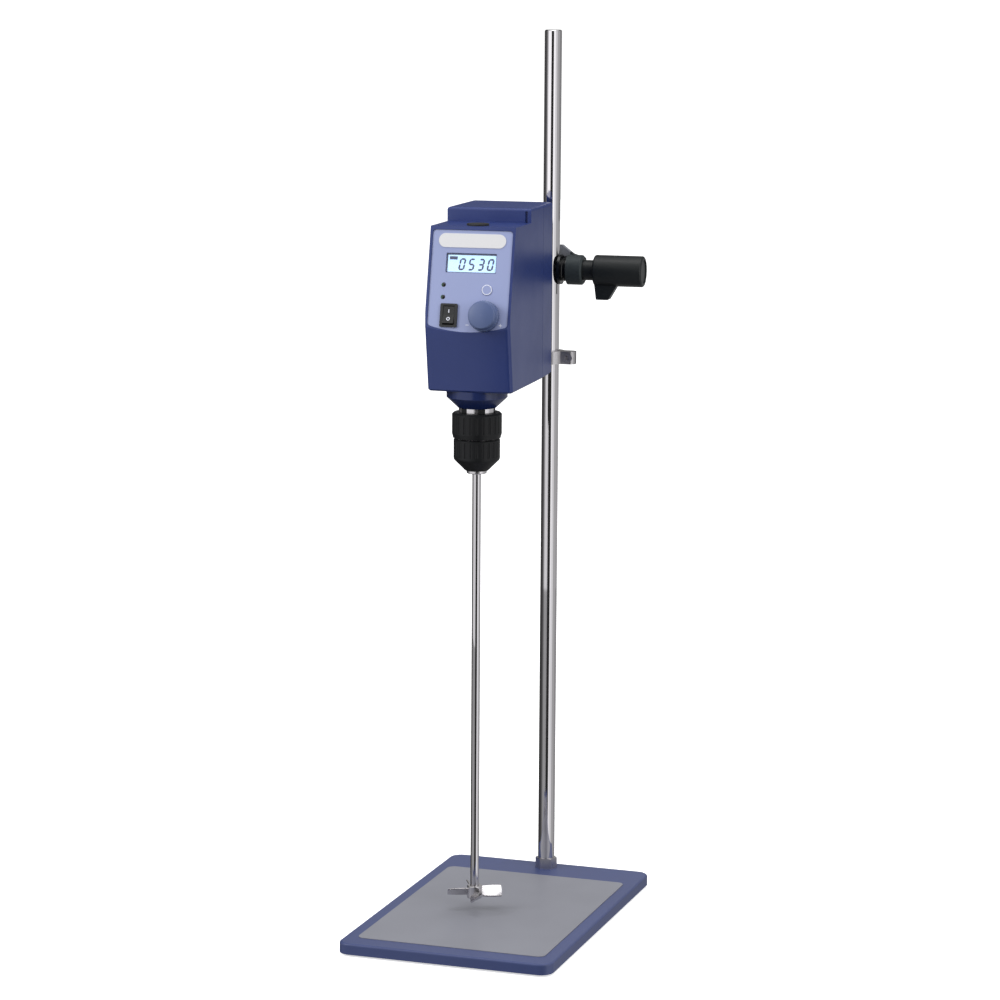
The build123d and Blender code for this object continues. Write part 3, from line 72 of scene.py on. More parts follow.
class Patch:
    """A flat place on the object: its middle, and the ways right, up and out."""

    def __init__(self, middle, right, out):
        self.out = Vector(out).normalized()
        self.right = Vector(right).normalized()
        self.up = self.out.cross(self.right)
        self.middle = Vector(middle)

    @property
    def matrix(self):
        axes = Matrix((self.right, self.up, self.out)).transposed().to_4x4()
        return Matrix.Translation(self.middle) @ axes

    def place(self, right, up):
        """The place that lies so far to the right and up from the middle."""
        return self.middle + self.right * right + self.up * up

    def shifted(self, right=0.0, up=0.0, out=0.0):
        """The same patch, moved."""
        middle = self.place(right, up) + self.out * out
        return Patch(middle, self.right, self.out)


def face_of(node, right, out):
    """The patch on a node's outermost face that way, in the middle of the node."""
    patch = Patch((0, 0, 0), right, out)
    corners = [vertex.co for vertex in NODES[node].data.vertices]
    middles = []
    for axis in (patch.right, patch.up):
        span = [corner.dot(axis) for corner in corners]
        middles.append((min(span) + max(span)) / 2)
    outermost = max(corner.dot(patch.out) for corner in corners)
    return patch.shifted(*middles, outermost)


def middle_of(node):
    """The middle of a node's box."""
    low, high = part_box(node)
    return (low + high) / 2


def surface_of(node):
    """A search tree over a node's surface."""
    mesh = NODES[node].data
    corners = [vertex.co for vertex in mesh.vertices]
    return BVHTree.FromPolygons(corners, [face.vertices for face in mesh.polygons])


def landed(surface, place, height):
    """Where a place over the panel lands on a surface, raised by a height."""
    start = place + PANEL_OUT * MARK_DROP * MM
    hit = surface.ray_cast(start, -PANEL_OUT)[0]
    if hit is None:
        raise ValueError("a mark lies beside the piece that carries it")
    return hit + PANEL_OUT * height


HEAD_RIGHT = Vector(JOINTS["rocker_tilt"]["axis"])
HEAD_BACK = Vector(JOINTS["arm_reach"]["axis"])
PANEL_OUT = Vector(JOINTS["speed_knob_turn"]["axis"])
ROD = middle_of("support_rod")
SPINDLE = Vector(JOINTS["spindle_spin"]["pos_m"])
KNOB = Vector(JOINTS["speed_knob_turn"]["pos_m"])
HEAD_SWING = math.atan2(HEAD_RIGHT.y, HEAD_RIGHT.x)
ROD_BOSS = 16.0 * MM  # from the rod's axis to the casting's boss on the rod's side
ARM_BOSS = 39.7 * MM  # and to the boss on the arm's side
BOSS_EDGE = 0.1 * MM
SLOTS = {part["node"]: part["material_slot"] for part in frame["record"]["subparts"]}


# ---------------- node trees

class Value:
    """A number in a node tree. Each operation on it adds one Math node."""

    def __init__(self, nodes, socket):
        self.nodes = nodes
        self.socket = socket

    def math(self, operation, first, second, clamp=False):
        settings = {"operation": operation, "use_clamp": clamp}
        node = self.nodes.node("ShaderNodeMath", settings)
        self.nodes.feed(node.inputs[0], first)
        self.nodes.feed(node.inputs[1], second)
        return Value(self.nodes, node.outputs[0])

    def __add__(self, other):
        return self.math("ADD", self, other)

    def __radd__(self, other):
        return self.math("ADD", other, self)

    def __sub__(self, other):
        return self.math("SUBTRACT", self, other)

    def __rsub__(self, other):
        return self.math("SUBTRACT", other, self)

    def __mul__(self, other):
        return self.math("MULTIPLY", self, other)

    def __rmul__(self, other):
        return self.math("MULTIPLY", other, self)

    def __truediv__(self, other):
        return self.math("DIVIDE", self, other)

    def __rtruediv__(self, other):
        return self.math("DIVIDE", other, self)

    def clamped(self):
        return self.math("ADD", self, 0.0, clamp=True)

    def step(self, low, high):
        """0 below low, 1 above high and straight between."""
        return ((self - low) / (high - low)).clamped()


class Nodes:
    """A node tree that is filled node by node."""

    def __init__(self, tree):
        self.tree = tree

    def feed(self, place, term):
        """Link a socket to a value or another socket, or set it to a constant."""
        if isinstance(term, Value):
            term = term.socket
        if isinstance(term, bpy.types.NodeSocket):
            self.tree.links.new(term, place)
        else:
            place.default_value = term

    def node(self, kind, settings=None, **sockets):
        """Add a node: its settings first, then the values or links of its sockets."""
        node = self.tree.nodes.new(kind)
        for key, setting in (settings or {}).items():
            setattr(node, key, setting)
        for key, term in sockets.items():
            self.feed(node.inputs[key.replace("_", " ")], term)
        return node


class Finish(Nodes):
    """A material built node by node round one Principled shader."""

    def __init__(self, name, colour, roughness, metallic=0.0, **constants):
        self.material = bpy.data.materials.new(name)
        self.material.use_nodes = True
        super().__init__(self.material.node_tree)
        self.tree.nodes.clear()
        self.shader = self.node("ShaderNodeBsdfPrincipled")
        self.node("ShaderNodeOutputMaterial", Surface=self.shader.outputs[0])
        self.set("Base Color", plain(colour))
        self.set("Roughness", roughness)
        self.set("Metallic", metallic)
        for key, constant in constants.items():
            self.set(key.replace("_", " "), constant)
        self.places = self.node("ShaderNodeTexCoord").outputs["Object"]

    def set(self, place, term):
        self.feed(self.shader.inputs[place], term)

    def along(self, direction, origin=(0, 0, 0)):
        """Distance along a direction from an origin, in metres."""
        away = self.node("ShaderNodeVectorMath", {"operation": "SUBTRACT"})
        self.feed(away.inputs[0], self.places)
        self.feed(away.inputs[1], tuple(origin))
        dot = self.node("ShaderNodeVectorMath", {"operation": "DOT_PRODUCT"})
        self.feed(dot.inputs[0], away.outputs[0])
        self.feed(dot.inputs[1], tuple(direction))
        return Value(self, dot.outputs["Value"])

    def noise(self, grain, stretch=(1, 1, 1), detail=3.0, roughness=0.55):
        """Smooth noise from 0 to 1 with features as large as the grain, in metres."""
        places = self.node("ShaderNodeMapping", Vector=self.places, Scale=stretch)
        noise = self.node(
            "ShaderNodeTexNoise", Vector=places.outputs[0], Scale=1 / grain,
            Detail=detail, Roughness=roughness,
        )
        return Value(self, noise.outputs["Fac"])

    def cells(self, grain):
        """Distance to the nearest of a set of scattered points, in grains."""
        cells = self.node("ShaderNodeTexVoronoi", Vector=self.places, Scale=1 / grain)
        return Value(self, cells.outputs["Distance"])

    def mixed(self, share, first, second):
        """A colour between two, by a share."""
        mix = self.node("ShaderNodeMix", {"data_type": "RGBA"})
        for place, term in ((0, share), (6, first), (7, second)):
            self.feed(mix.inputs[place], term)
        return mix.outputs[2]

    def vary_colour(self, share, other):
        """Run the base colour towards another by a share."""
        base = self.shader.inputs["Base Color"]
        current = base.links[0].from_socket if base.links else tuple(base.default_value)
        self.set("Base Color", self.mixed(share, current, plain(other)))

    def relief(self, height, depth, strength=1.0):
        """Raise the surface by a height from 0 to 1 times a depth, in metres."""
        bump = self.node(
            "ShaderNodeBump", Height=height, Distance=depth, Strength=strength
        )
        old = self.shader.inputs["Normal"]
        if old.links:
            self.feed(bump.inputs["Normal"], old.links[0].from_socket)
        self.set("Normal", bump.outputs[0])


def plain(colour):
    """An sRGB colour as the linear colour that a shader takes."""
    linear = [
        part / 12.92 if part <= 0.04045 else ((part + 0.055) / 1.055) ** 2.4
        for part in colour[:3]
    ]
    return (*linear, 1.0)


def tint(colour, factor):
    """The same sRGB colour, lighter or darker."""
    return tuple(min(1.0, part * factor) for part in colour[:3])


# ---------------- finishes

def moulded_plastic(
    name, colour, roughness, grain=0.35 * MM, depth=0.02 * MM, gloss=0.5
):
    """Moulded case plastic: a fine spark-eroded texture and a faint drift of colour."""
    finish = Finish(name, colour, roughness, Specular_IOR_Level=gloss)
    cloud = finish.noise(38 * MM, detail=2.0)
    grit = finish.noise(grain, detail=2.0)
    finish.vary_colour(cloud.step(0.35, 0.8) * 0.35, tint(colour, 0.9))
    finish.vary_colour(grit.step(0.45, 0.75) * 0.18, tint(colour, 1.14))
    finish.set("Roughness", roughness + (grit - 0.5) * 0.14 + (cloud - 0.5) * 0.1)
    finish.relief(grit, depth)
    return finish.material


def powder_coat(name, colour):
    """Baked powder coat: orange peel over a satin film, dulled a little by handling."""
    finish = Finish(name, colour, 0.38, Coat_Weight=0.15, Coat_Roughness=0.25)
    peel = finish.noise(1.3 * MM, detail=1.0)
    cloud = finish.noise(60 * MM, detail=3.0)
    finish.vary_colour(cloud.step(0.4, 0.8) * 0.3, tint(colour, 1.12))
    finish.set("Roughness", 0.34 + cloud * 0.14)
    finish.relief(peel, 0.05 * MM)
    return finish.material


def mat_vinyl(name, colour):
    """Pressed non-slip sheet: a fine leathery grain with lighter specks."""
    finish = Finish(name, colour, 0.4)
    speck = finish.noise(0.5 * MM, detail=2.0)
    cloud = finish.noise(70 * MM, detail=2.0)
    pits = finish.cells(1.1 * MM)
    finish.vary_colour(speck.step(0.4, 0.7) * 0.35, tint(colour, 1.1))
    finish.vary_colour(cloud.step(0.35, 0.75) * 0.5, tint(colour, 0.93))
    finish.set("Roughness", 0.3 + speck * 0.16)
    finish.relief(pits, 0.05 * MM, 0.4)
    return finish.material


def dull_rubber(name, colour):
    """Matt rubber with pale dust in places."""
    finish = Finish(name, colour, 0.7)
    dust = finish.noise(9 * MM, detail=4.0)
    grit = finish.noise(0.4 * MM)
    finish.vary_colour(dust.step(0.5, 0.8) * 0.3, tint(colour, 1.8))
    finish.set("Roughness", 0.58 + dust * 0.25)
    finish.relief(grit, 0.03 * MM)
    return finish.material


def ground_rod(name, colour, roughness=0.05):
    """Ground steel bar: very fine rings round the bar and faint long scratches."""
    finish = Finish(name, colour, roughness, metallic=1.0)
    rings = finish.noise(0.5 * MM, stretch=(0.03, 0.03, 1), detail=2.0)
    rubs = finish.noise(2.2 * MM, stretch=(1, 1, 0.02), detail=3.0)
    cloud = finish.noise(45 * MM, stretch=(1, 1, 0.4))
    finish.vary_colour(cloud.step(0.4, 0.8) * 0.25, tint(colour, 0.9))
    finish.set("Roughness", roughness + (rubs - 0.5) * 0.05 + (rings - 0.5) * 0.04)
    finish.relief(rings, 0.001 * MM)
    return finish.material


def turned_steel(name, colour, roughness=0.26):
    """Machined steel with the fine marks of the tool and a little staining."""
    finish = Finish(name, colour, roughness, metallic=1.0)
    marks = finish.noise(0.35 * MM, stretch=(0.2, 0.2, 1), detail=2.0)
    stain = finish.noise(14 * MM, detail=4.0)
    finish.vary_colour(stain.step(0.5, 0.8) * 0.3, tint(colour, 0.82))
    finish.set("Roughness", roughness + stain.step(0.3, 0.8) * 0.14)
    finish.relief(marks, 0.008 * MM)
    return finish.material


def sand_casting(name, colour):
    """Painted sand casting: a pebbled skin with lighter high spots.

    It gives the whole finish, so that a piece can add to it.
    """
    finish = Finish(name, colour, 0.5, metallic=0.35)
    pebbles = finish.noise(0.9 * MM, detail=4.0, roughness=0.65)
    pits = finish.cells(1.6 * MM)
    finish.vary_colour(pebbles.step(0.5, 0.75) * 0.5, tint(colour, 1.35))
    finish.set("Roughness", 0.42 + pebbles * 0.2)
    finish.relief(pebbles, 0.18 * MM)
    finish.relief(pits, 0.06 * MM, 0.5)
    return finish


def printed_ink(name, colour):
    """Screen-printed ink, slightly uneven where the mesh left it thin."""
    finish = Finish(name, colour, 0.5)
    thin = finish.noise(0.4 * MM)
    finish.vary_colour(thin.step(0.5, 0.8) * 0.25, tint(colour, 0.86))
    finish.set("Roughness", 0.42 + thin * 0.16)
    return finish.material


def satin_overlay(name, colour):
    """Panel overlay: satin film with a very fine stipple."""
    finish = Finish(name, colour, 0.4)
    stipple = finish.noise(0.3 * MM, detail=1.0)
    cloud = finish.noise(50 * MM, detail=1.0)
    finish.vary_colour(cloud.step(0.3, 0.8) * 0.3, tint(colour, 1.06))
    finish.set("Roughness", 0.36 + stipple * 0.12)
    finish.relief(stipple, 0.006 * MM)
    return finish.material


def clear_window(name):
    """Thin clear window: mostly see-through, with a faint smear in its gloss."""
    finish = Finish(name, (0.95, 0.98, 1.0), 0.06)
    smear = finish.noise(9 * MM)
    finish.set("Roughness", 0.03 + smear * 0.06)
    finish.set("Alpha", 0.06 + smear * 0.06)
    return finish.material


def lit_crystal(name, colour, recess_shadow, glow, window):
    """Backlit liquid crystal: uneven light inside a window, and outside it a dark strip painted as the shadow of
    the display's recess.

    The window is a list of directions, each with where it begins and ends.
    """
    finish = Finish(name, recess_shadow, 0.35, Emission_Strength=glow)
    spread = finish.noise(16 * MM, detail=1.0)
    edge = 0.06 * MM
    inside = None
    for direction, low, high in window:
        place = finish.along(direction)
        past_end = place.step(high - edge, high + edge)
        span = place.step(low - edge, low + edge) * (1 - past_end)
        inside = span if inside is None else inside * span
    dimmed = plain(tint(colour, 0.94))
    shine = finish.mixed(spread.step(0.3, 0.8), plain(colour), dimmed)
    # Only the window is lit; the dark colour left at the display's top and left is painted shadow of the recess.
    finish.vary_colour(inside, colour)
    finish.set("Emission Color", finish.mixed(inside, (0, 0, 0, 1), shine))
    finish.set("Roughness", 0.3 + spread * 0.1)
    return finish.material


def dark_crystal(name, colour):
    """The display's dark marks, slightly uneven."""
    finish = Finish(name, colour, 0.3)
    spread = finish.noise(2 * MM)
    finish.vary_colour(spread * 0.2, tint(colour, 1.3))
    return finish.material


def lamp_resin(name, colour, painted_glow):
    """Dark domes of tinted resin, with the green of the lit lamp painted on their left side as painted glow."""
    finish = Finish(name, colour, 0.12, Coat_Weight=0.5, Coat_Roughness=0.05)
    across = finish.along(HEAD_RIGHT, middle_of("indicator_leds"))
    cloud = finish.noise(1.5 * MM)
    # The left side of each dome carries the lamp's green as painted glow.
    side = (0 - across).step(0.5 * MM, 1.3 * MM)
    finish.vary_colour(side * (0.7 + cloud * 0.3), painted_glow)
    finish.set("Roughness", 0.1 + cloud * 0.06)
    return finish.material


def board_lacquer(name, colour):
    """Green solder lacquer with the tracks faintly raised below it."""
    finish = Finish(name, colour, 0.35)
    tracks = finish.node("ShaderNodeTexBrick", Vector=finish.places, Scale=120.0)
    pattern = Value(finish, tracks.outputs["Fac"])
    finish.vary_colour(pattern * 0.5, tint(colour, 1.5))
    finish.set("Roughness", 0.3 + pattern * 0.15)
    finish.relief(pattern, 0.03 * MM)
    return finish.material


# ---------------- meshes

def linked(name, data):
    """A new object in the scene."""
    piece = bpy.data.objects.new(name, data)
    bpy.context.scene.collection.objects.link(piece)
    return piece


def riding(name, mesh, body, slot):
    """A new piece that rides on a body."""
    piece = linked(name, mesh)
    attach(piece, body)
    return piece


def plain_mesh(maker, name, material):
    """A bmesh made into a mesh with one finish."""
    mesh = bpy.data.meshes.new(name)
    maker.to_mesh(mesh)
    maker.free()
    mesh.materials.append(material)
    return mesh


def finished(maker, name, material, body, slot, smooth=False):
    """Make a bmesh into a piece at the origin that rides on a body."""
    bmesh.ops.recalc_face_normals(maker, faces=maker.faces)
    mesh = plain_mesh(maker, name, material)
    for polygon in mesh.polygons:
        polygon.use_smooth = smooth
    riding(name, mesh, body, slot)


def walled(maker, first, second):
    """Add the faces between two closed rows of the same number of points."""
    for index in range(len(first)):
        after = (index + 1) % len(first)
        maker.faces.new((first[index], first[after], second[after], second[index]))


def prism_between(maker, low, high):
    """Add a closed solid between two loops of places."""
    bottom = [maker.verts.new(place) for place in low]
    top = [maker.verts.new(place) for place in high]
    maker.faces.new(reversed(bottom))
    maker.faces.new(top)
    walled(maker, bottom, top)


def prism(maker, outline, matrix, low, high):
    """Add a closed prism over a flat outline, from low to high along the third axis."""
    prism_between(maker, *(
        [matrix @ Vector((x, y, level)) for x, y in outline] for level in (low, high)
    ))


def printed(maker, node, patch, outline, height):
    """Add a closed printed mark that follows a node's surface under its outline."""
    surface = surface_of(node)
    prism_between(maker, *(
        [landed(surface, patch.place(*point), level) for point in outline]
        for level in (-height, height)
    ))


def printed_ring(maker, node, patch, radii, height):
    """Add a closed printed ring that follows a node's surface between two radii."""
    surface = surface_of(node)
    inner, outer = radii
    widths = [inner, (2 * inner + outer) / 3, (inner + 2 * outer) / 3, outer]
    rows = []
    for raised, spans in ((height, widths), (-height, reversed(widths))):
        for radius in spans:
            rows.append([
                maker.verts.new(landed(surface, patch.place(*point), raised))
                for point in circle(radius, 48)
            ])
    for first, second in zip(rows, rows[1:] + rows[:1]):
        walled(maker, first, second)


def circle(radius, count):
    """Outline of a circle."""
    turns = [2 * math.pi * index / count for index in range(count)]
    return [(radius * math.cos(turn), radius * math.sin(turn)) for turn in turns]


def oblong(width, height, corner, steps):
    """Outline of a rectangle with round corners."""
    points = []
    for quarter, (side_x, side_y) in enumerate(((1, 1), (-1, 1), (-1, -1), (1, -1))):
        x = side_x * (width / 2 - corner)
        y = side_y * (height / 2 - corner)
        for step in range(steps + 1):
            turn = math.pi / 2 * (quarter + step / steps)
            points.append((x + corner * math.cos(turn), y + corner * math.sin(turn)))
    return points


def dress(finish_of):
    """Give each CAD node its finish."""
    for node, material in finish_of.items():
        mesh = NODES[node].data
        mesh.materials.clear()
        mesh.materials.append(material)


# ---------------- repeated detail

CROWN_SHARE = 0.66  # of a pan head's radius, at its top
CROSS_SHARE = 1.1  # of a pan head's radius, along its cross


class Pattern(Nodes):
    """A Geometry Nodes tree with named inputs for its sizes."""

    def __init__(self, name, sizes):
        super().__init__(bpy.data.node_groups.new(name, "GeometryNodeTree"))
        self.sizes = sizes
        self.identifiers = {}
        sockets = self.tree.interface
        for key, size in sizes.items():
            kind = "NodeSocketInt" if isinstance(size, int) else "NodeSocketFloat"
            socket = sockets.new_socket(key, in_out="INPUT", socket_type=kind)
            self.identifiers[key] = socket.identifier
        sockets.new_socket(
            "Geometry", in_out="OUTPUT", socket_type="NodeSocketGeometry"
        )
        self.input = self.node("NodeGroupInput")

    def size(self, key):
        """A named size as a number for the tree's maths."""
        return Value(self, self.input.outputs[key])

    def made(self, kind, **sockets):
        """Add a node and give its first output."""
        return self.node(kind, **sockets).outputs[0]

    def moved(self, part, by):
        """A part moved by a vector."""
        return self.made("GeometryNodeTransform", Geometry=part, Translation=by)

    def vector(self, x=0.0, y=0.0, z=0.0):
        return self.made("ShaderNodeCombineXYZ", X=x, Y=y, Z=z)

    def box(self, width, depth, height, at):
        size = self.vector(width, depth, height)
        return self.moved(self.made("GeometryNodeMeshCube", Size=size), at)

    def rod(self, radius, start, length, sides):
        """A closed cylinder along Z that begins at a height."""
        cylinder = self.made(
            "GeometryNodeMeshCylinder", Vertices=sides, Radius=radius, Depth=length
        )
        return self.moved(cylinder, self.vector(z=start + length * 0.5))

    def joined(self, *parts):
        join = self.node("GeometryNodeJoinGeometry")
        for part in parts:
            self.feed(join.inputs[0], part)
        return join.outputs[0]

    def merged(self, operation, parts, base=None):
        """Solids added together, or cut from a base."""
        settings = {"operation": operation, "solver": "EXACT"}
        node = self.node("GeometryNodeMeshBoolean", settings)
        if base is not None:
            self.feed(node.inputs["Mesh 1"], base)
        for part in parts:
            self.feed(node.inputs["Mesh 2"], part)
        return node.outputs["Mesh"]

    def turned_copies(self, part, count, first_turn):
        """Copies of a part round the Z axis."""
        points = self.made("GeometryNodeMeshLine", Count=count, Offset=(0, 0, 0))
        index = Value(self, self.made("GeometryNodeInputIndex"))
        turn = index / count * (2 * math.pi) + first_turn
        return self.made(
            "GeometryNodeInstanceOnPoints", Points=points, Instance=part,
            Rotation=self.vector(z=turn),
        )

    def end(self, part, material):
        """Close the tree with real geometry that carries its finish."""
        real = self.made("GeometryNodeRealizeInstances", Geometry=part)
        done = self.made("GeometryNodeSetMaterial", Geometry=real, Material=material)
        self.feed(self.node("NodeGroupOutput").inputs[0], done)
        return self

    def grown(self, name, matrix, body, slot, smooth_angle=None):
        """Grow the tree once, as a plain mesh in its place on a body."""
        host = linked(name + "_host", bpy.data.meshes.new(name + "_host"))
        modifier = host.modifiers.new("Pattern", "NODES")
        modifier.node_group = self.tree
        for key, size in self.sizes.items():
            modifier[self.identifiers[key]] = size
        graph = bpy.context.evaluated_depsgraph_get()
        mesh = bpy.data.meshes.new_from_object(host.evaluated_get(graph))
        bpy.data.objects.remove(host)
        mesh.name = name
        mesh.transform(matrix)
        if smooth_angle is not None:
            mesh.polygons.foreach_set("use_smooth", [True] * len(mesh.polygons))
            mesh.set_sharp_from_angle(angle=smooth_angle)
        return riding(name, mesh, body, slot)


def threaded_bar(material, crest, depth, length, pitch, tip_radius, tip_length):
    """A bar along Z with a rounded thread and a plain tip behind the origin."""
    tree = Pattern("threaded_bar", {
        "Crest radius": crest, "Thread depth": depth, "Length": length,
        "Pitch": pitch, "Tip radius": tip_radius, "Tip length": tip_length,
    })
    depth, length, pitch, tip_length = [
        tree.size(key) for key in ("Thread depth", "Length", "Pitch", "Tip length")
    ]
    core_radius = tree.size("Crest radius") - depth
    core = tree.rod(core_radius, 0.0, length, 64)
    tip = tree.rod(tree.size("Tip radius"), tip_length * -1.0, tip_length, 64)
    run = length - pitch
    coil = tree.made(
        "GeometryNodeCurveSpiral", Resolution=48, Rotations=run / pitch,
        Start_Radius=core_radius, End_Radius=core_radius, Height=run,
    )
    ridge = tree.node(
        "GeometryNodeCurvePrimitiveCircle", {"mode": "RADIUS"}, Resolution=8,
        Radius=depth,
    ).outputs[0]
    wound = tree.made(
        "GeometryNodeCurveToMesh", Curve=coil, Profile_Curve=ridge, Fill_Caps=True
    )
    wound = tree.moved(wound, tree.vector(z=pitch * 0.5))
    return tree.end(tree.joined(core, tip, wound), material)


def ring_keys(material, count, outer, depth, width, height, first_turn):
    """Dark blocks that stand in the slots of a ring about Z, as painted shade in the slots."""
    tree = Pattern("ring_keys", {
        "Count": count, "Outer radius": outer, "Depth": depth, "Width": width,
        "Height": height,
    })
    depth = tree.size("Depth")
    middle = tree.size("Outer radius") - depth * 0.5
    at = tree.vector(x=middle)
    key = tree.box(depth, tree.size("Width"), tree.size("Height"), at)
    return tree.end(tree.turned_copies(key, tree.size("Count"), first_turn), material)


def cross_screws(
    material, columns, pitch, radius, height, cross, shank_radius, shank_length
):
    """A row of pan-head screws about the origin, facing +Z, each with a cut cross."""
    tree = Pattern("cross_screws", {
        "Columns": columns, "Pitch": pitch, "Head radius": radius,
        "Head height": height, "Cross": cross, "Shank radius": shank_radius,
        "Shank length": shank_length,
    })
    columns, pitch, radius, height, cross, shank_radius, shank = [
        tree.size(key) for key in tree.sizes
    ]
    rim_height = height * 0.5
    crown = tree.made(
        "GeometryNodeMeshCone", Vertices=48, Side_Segments=1, Radius_Bottom=radius,
        Radius_Top=radius * CROWN_SHARE, Depth=height - rim_height,
    )
    screw = tree.merged("UNION", [
        tree.rod(shank_radius, shank * -1.0, shank, 32),
        tree.rod(radius, 0.0, rim_height, 48),
        tree.moved(crown, tree.vector(z=rim_height)),
    ])
    reach = radius * CROSS_SHARE
    at = tree.vector(z=height)
    bars = [tree.box(reach, cross, height, at), tree.box(cross, reach, height, at)]
    screw = tree.merged("DIFFERENCE", bars, screw)
    start = (columns - 1.0) * pitch * -0.5
    points = tree.made(
        "GeometryNodeMeshLine", Count=columns, Start_Location=tree.vector(x=start),
        Offset=tree.vector(x=pitch),
    )
    row = tree.made("GeometryNodeInstanceOnPoints", Points=points, Instance=screw)
    return tree.end(row, material)


# ---------------- settings

def colour_setting(name, description, default):
    return FloatVectorProperty(
        name=name, description=description, subtype="COLOR_GAMMA", size=3,
        min=0, max=1, default=default,
    )


def length_setting(name, description, millimetres):
    return FloatProperty(
        name=name, description=description, subtype="DISTANCE", unit="LENGTH",
        min=0, default=millimetres * MM, precision=5,
    )


class StirrerColours(bpy.types.PropertyGroup):
    """Colours of the stirrer's finishes"""
    housing: colour_setting(
        "Housing", "Colour of the moulded case", (0.135, 0.205, 0.44))
    panel: colour_setting(
        "Panel", "Colour of the panel overlay", (0.58, 0.62, 0.78))
    knob: colour_setting(
        "Knob", "Colour of the speed knob", (0.32, 0.38, 0.54))
    plate: colour_setting(
        "Plate", "Colour of the base plate's powder coat", (0.23, 0.275, 0.45))
    mat: colour_setting(
        "Mat", "Colour of the non-slip mat", (0.50, 0.505, 0.54))
    steel: colour_setting(
        "Steel", "Colour of the ground and turned steel", (0.86, 0.85, 0.86))
    casting: colour_setting(
        "Casting", "Colour of the boss head", (0.50, 0.51, 0.54))
    black: colour_setting(
        "Black parts", "Colour of the chuck sleeves and switch", (0.07, 0.075, 0.085))
    charcoal: colour_setting(
        "Clamp knobs", "Colour of the clamp knobs", (0.10, 0.115, 0.12))
    ink: colour_setting(
        "Ink", "Colour of the panel's print", (0.90, 0.91, 0.96))
    display: colour_setting(
        "Display", "Colour of the lit display", (0.74, 0.87, 0.99))
    digits: colour_setting(
        "Digits", "Colour of the display's dark marks", (0.12, 0.16, 0.34))


class StirrerSizes(bpy.types.PropertyGroup):
    """Sizes of the printed marks, digits and threads"""
    ink_height: length_setting(
        "Ink height", "How far printed marks stand above their surface", 0.06)
    digit_height: length_setting("Digit height", "Height of a display digit", 10.9)
    digit_width: length_setting("Digit width", "Width of a display digit", 5.7)
    segment_width: length_setting("Segment width", "Width of a digit's bar", 1.6)
    digit_pitch: length_setting(
        "Digit pitch", "Distance from one digit to the next", 8.66)
    thread_pitch: length_setting(
        "Thread pitch", "Pitch of the clamp screws' thread", 1.5)
    thread_depth: length_setting(
        "Thread depth", "Depth of the clamp screws' thread", 0.7)
    reading: StringProperty(
        name="Reading", description="Number that the display shows", default="0530")
    # Dark blocks in the lock ring's slots stand for the shade inside the slots.
    ring_keys: IntProperty(
        name="Lock ring slot shade", description="Dark blocks painted as shade in the spindle lock ring's slots",
        default=6, min=2)


CLASSES = [StirrerColours, StirrerSizes]


def operator(cls):
    CLASSES.append(cls)
    return cls


def settings():
    scene = bpy.context.scene
    return scene.stirrer_colours, scene.stirrer_sizes


# ---------------- stand

@operator
class StirrerStand(bpy.types.Operator):
    """Finish the base plate, mat, feet, rod and collars"""
    bl_idname = "stirrer.stand"
    bl_label = "Stand"

    def execute(self, context):
        colours, _ = settings()
        machined = turned_steel("machined_steel", tint(colours.steel, 0.93))
        dark = tint(colours.steel, 0.85)
        dress({
            "base_plate": powder_coat("plate_coat", colours.plate),
            "non_slip_mat": mat_vinyl("mat_vinyl", colours.mat),
            "rubber_feet": dull_rubber("foot_rubber", (0.09, 0.09, 0.1)),
            "support_rod": ground_rod("ground_steel", colours.steel),
            "rod_hex_collar": machined,
            "rod_lock_nut": machined,
            "stop_collar": turned_steel("stop_collar_steel", dark, 0.3),
            "stop_collar_screw": turned_steel("socket_screw_steel", dark, 0.3),
        })
        return {"FINISHED"}


# ---------------- clamps

SCREW_CREST = 11 * MM
SCREW_TIP = (5.5 * MM, 1.5 * MM)  # radius and length of the plain tip behind the pad
THREAD_GAP = 0.15 * MM
THREAD_SMOOTH = math.radians(40)


@operator
class StirrerClamps(bpy.types.Operator):
    """Finish the boss head and its two clamp screws"""
    bl_idname = "stirrer.clamps"
    bl_label = "Clamps"

    def execute(self, context):
        colours, sizes = settings()
        charcoal = moulded_plastic(
            "clamp_knob_plastic", colours.charcoal, 0.4, 0.5 * MM, gloss=0.35
        )
        gloss = moulded_plastic("clamp_screw_plastic", colours.black, 0.22)
        dress({
            "boss_head": boss_casting(colours.casting, tint(colours.charcoal, 2.0)),
            "rod_clamp_knob": charcoal,
            "arm_clamp_knob": charcoal,
            "rod_clamp_pad": gloss,
            "arm_clamp_pad": gloss,
        })
        for side, outward in (("rod", HEAD_RIGHT), ("arm", -HEAD_RIGHT)):
            node = side + "_clamp_screw"
            far = face_of(node, HEAD_BACK, outward)
            pad = face_of(side + "_clamp_pad", HEAD_BACK, outward)
            length = (far.middle - pad.middle).dot(outward) - THREAD_GAP
            bar = threaded_bar(
                gloss, SCREW_CREST, sizes.thread_depth, length, sizes.thread_pitch,
                *SCREW_TIP
            )
            screw = bar.grown(
                side + "_threaded_screw", far.shifted(out=-length).matrix,
                side + "_clamp", SLOTS[node], THREAD_SMOOTH
            )
            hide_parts(node)
        return {"FINISHED"}


def boss_casting(casting, coating):
    """The boss head's casting, with a coated boss for a clamp screw at each end."""
    finish = sand_casting("boss_casting", casting)
    across = finish.along(HEAD_RIGHT, ROD)
    rod_end = across.step(ROD_BOSS - BOSS_EDGE, ROD_BOSS + BOSS_EDGE)
    arm_end = (0 - across).step(ARM_BOSS - BOSS_EDGE, ARM_BOSS + BOSS_EDGE)
    finish.vary_colour((rod_end + arm_end).clamped(), coating)
    return finish.material


# ---------------- motor head

SCREW_HEAD = 1.6 * MM  # height of the inlet screws' heads
SCREW_SMOOTH = math.radians(30)


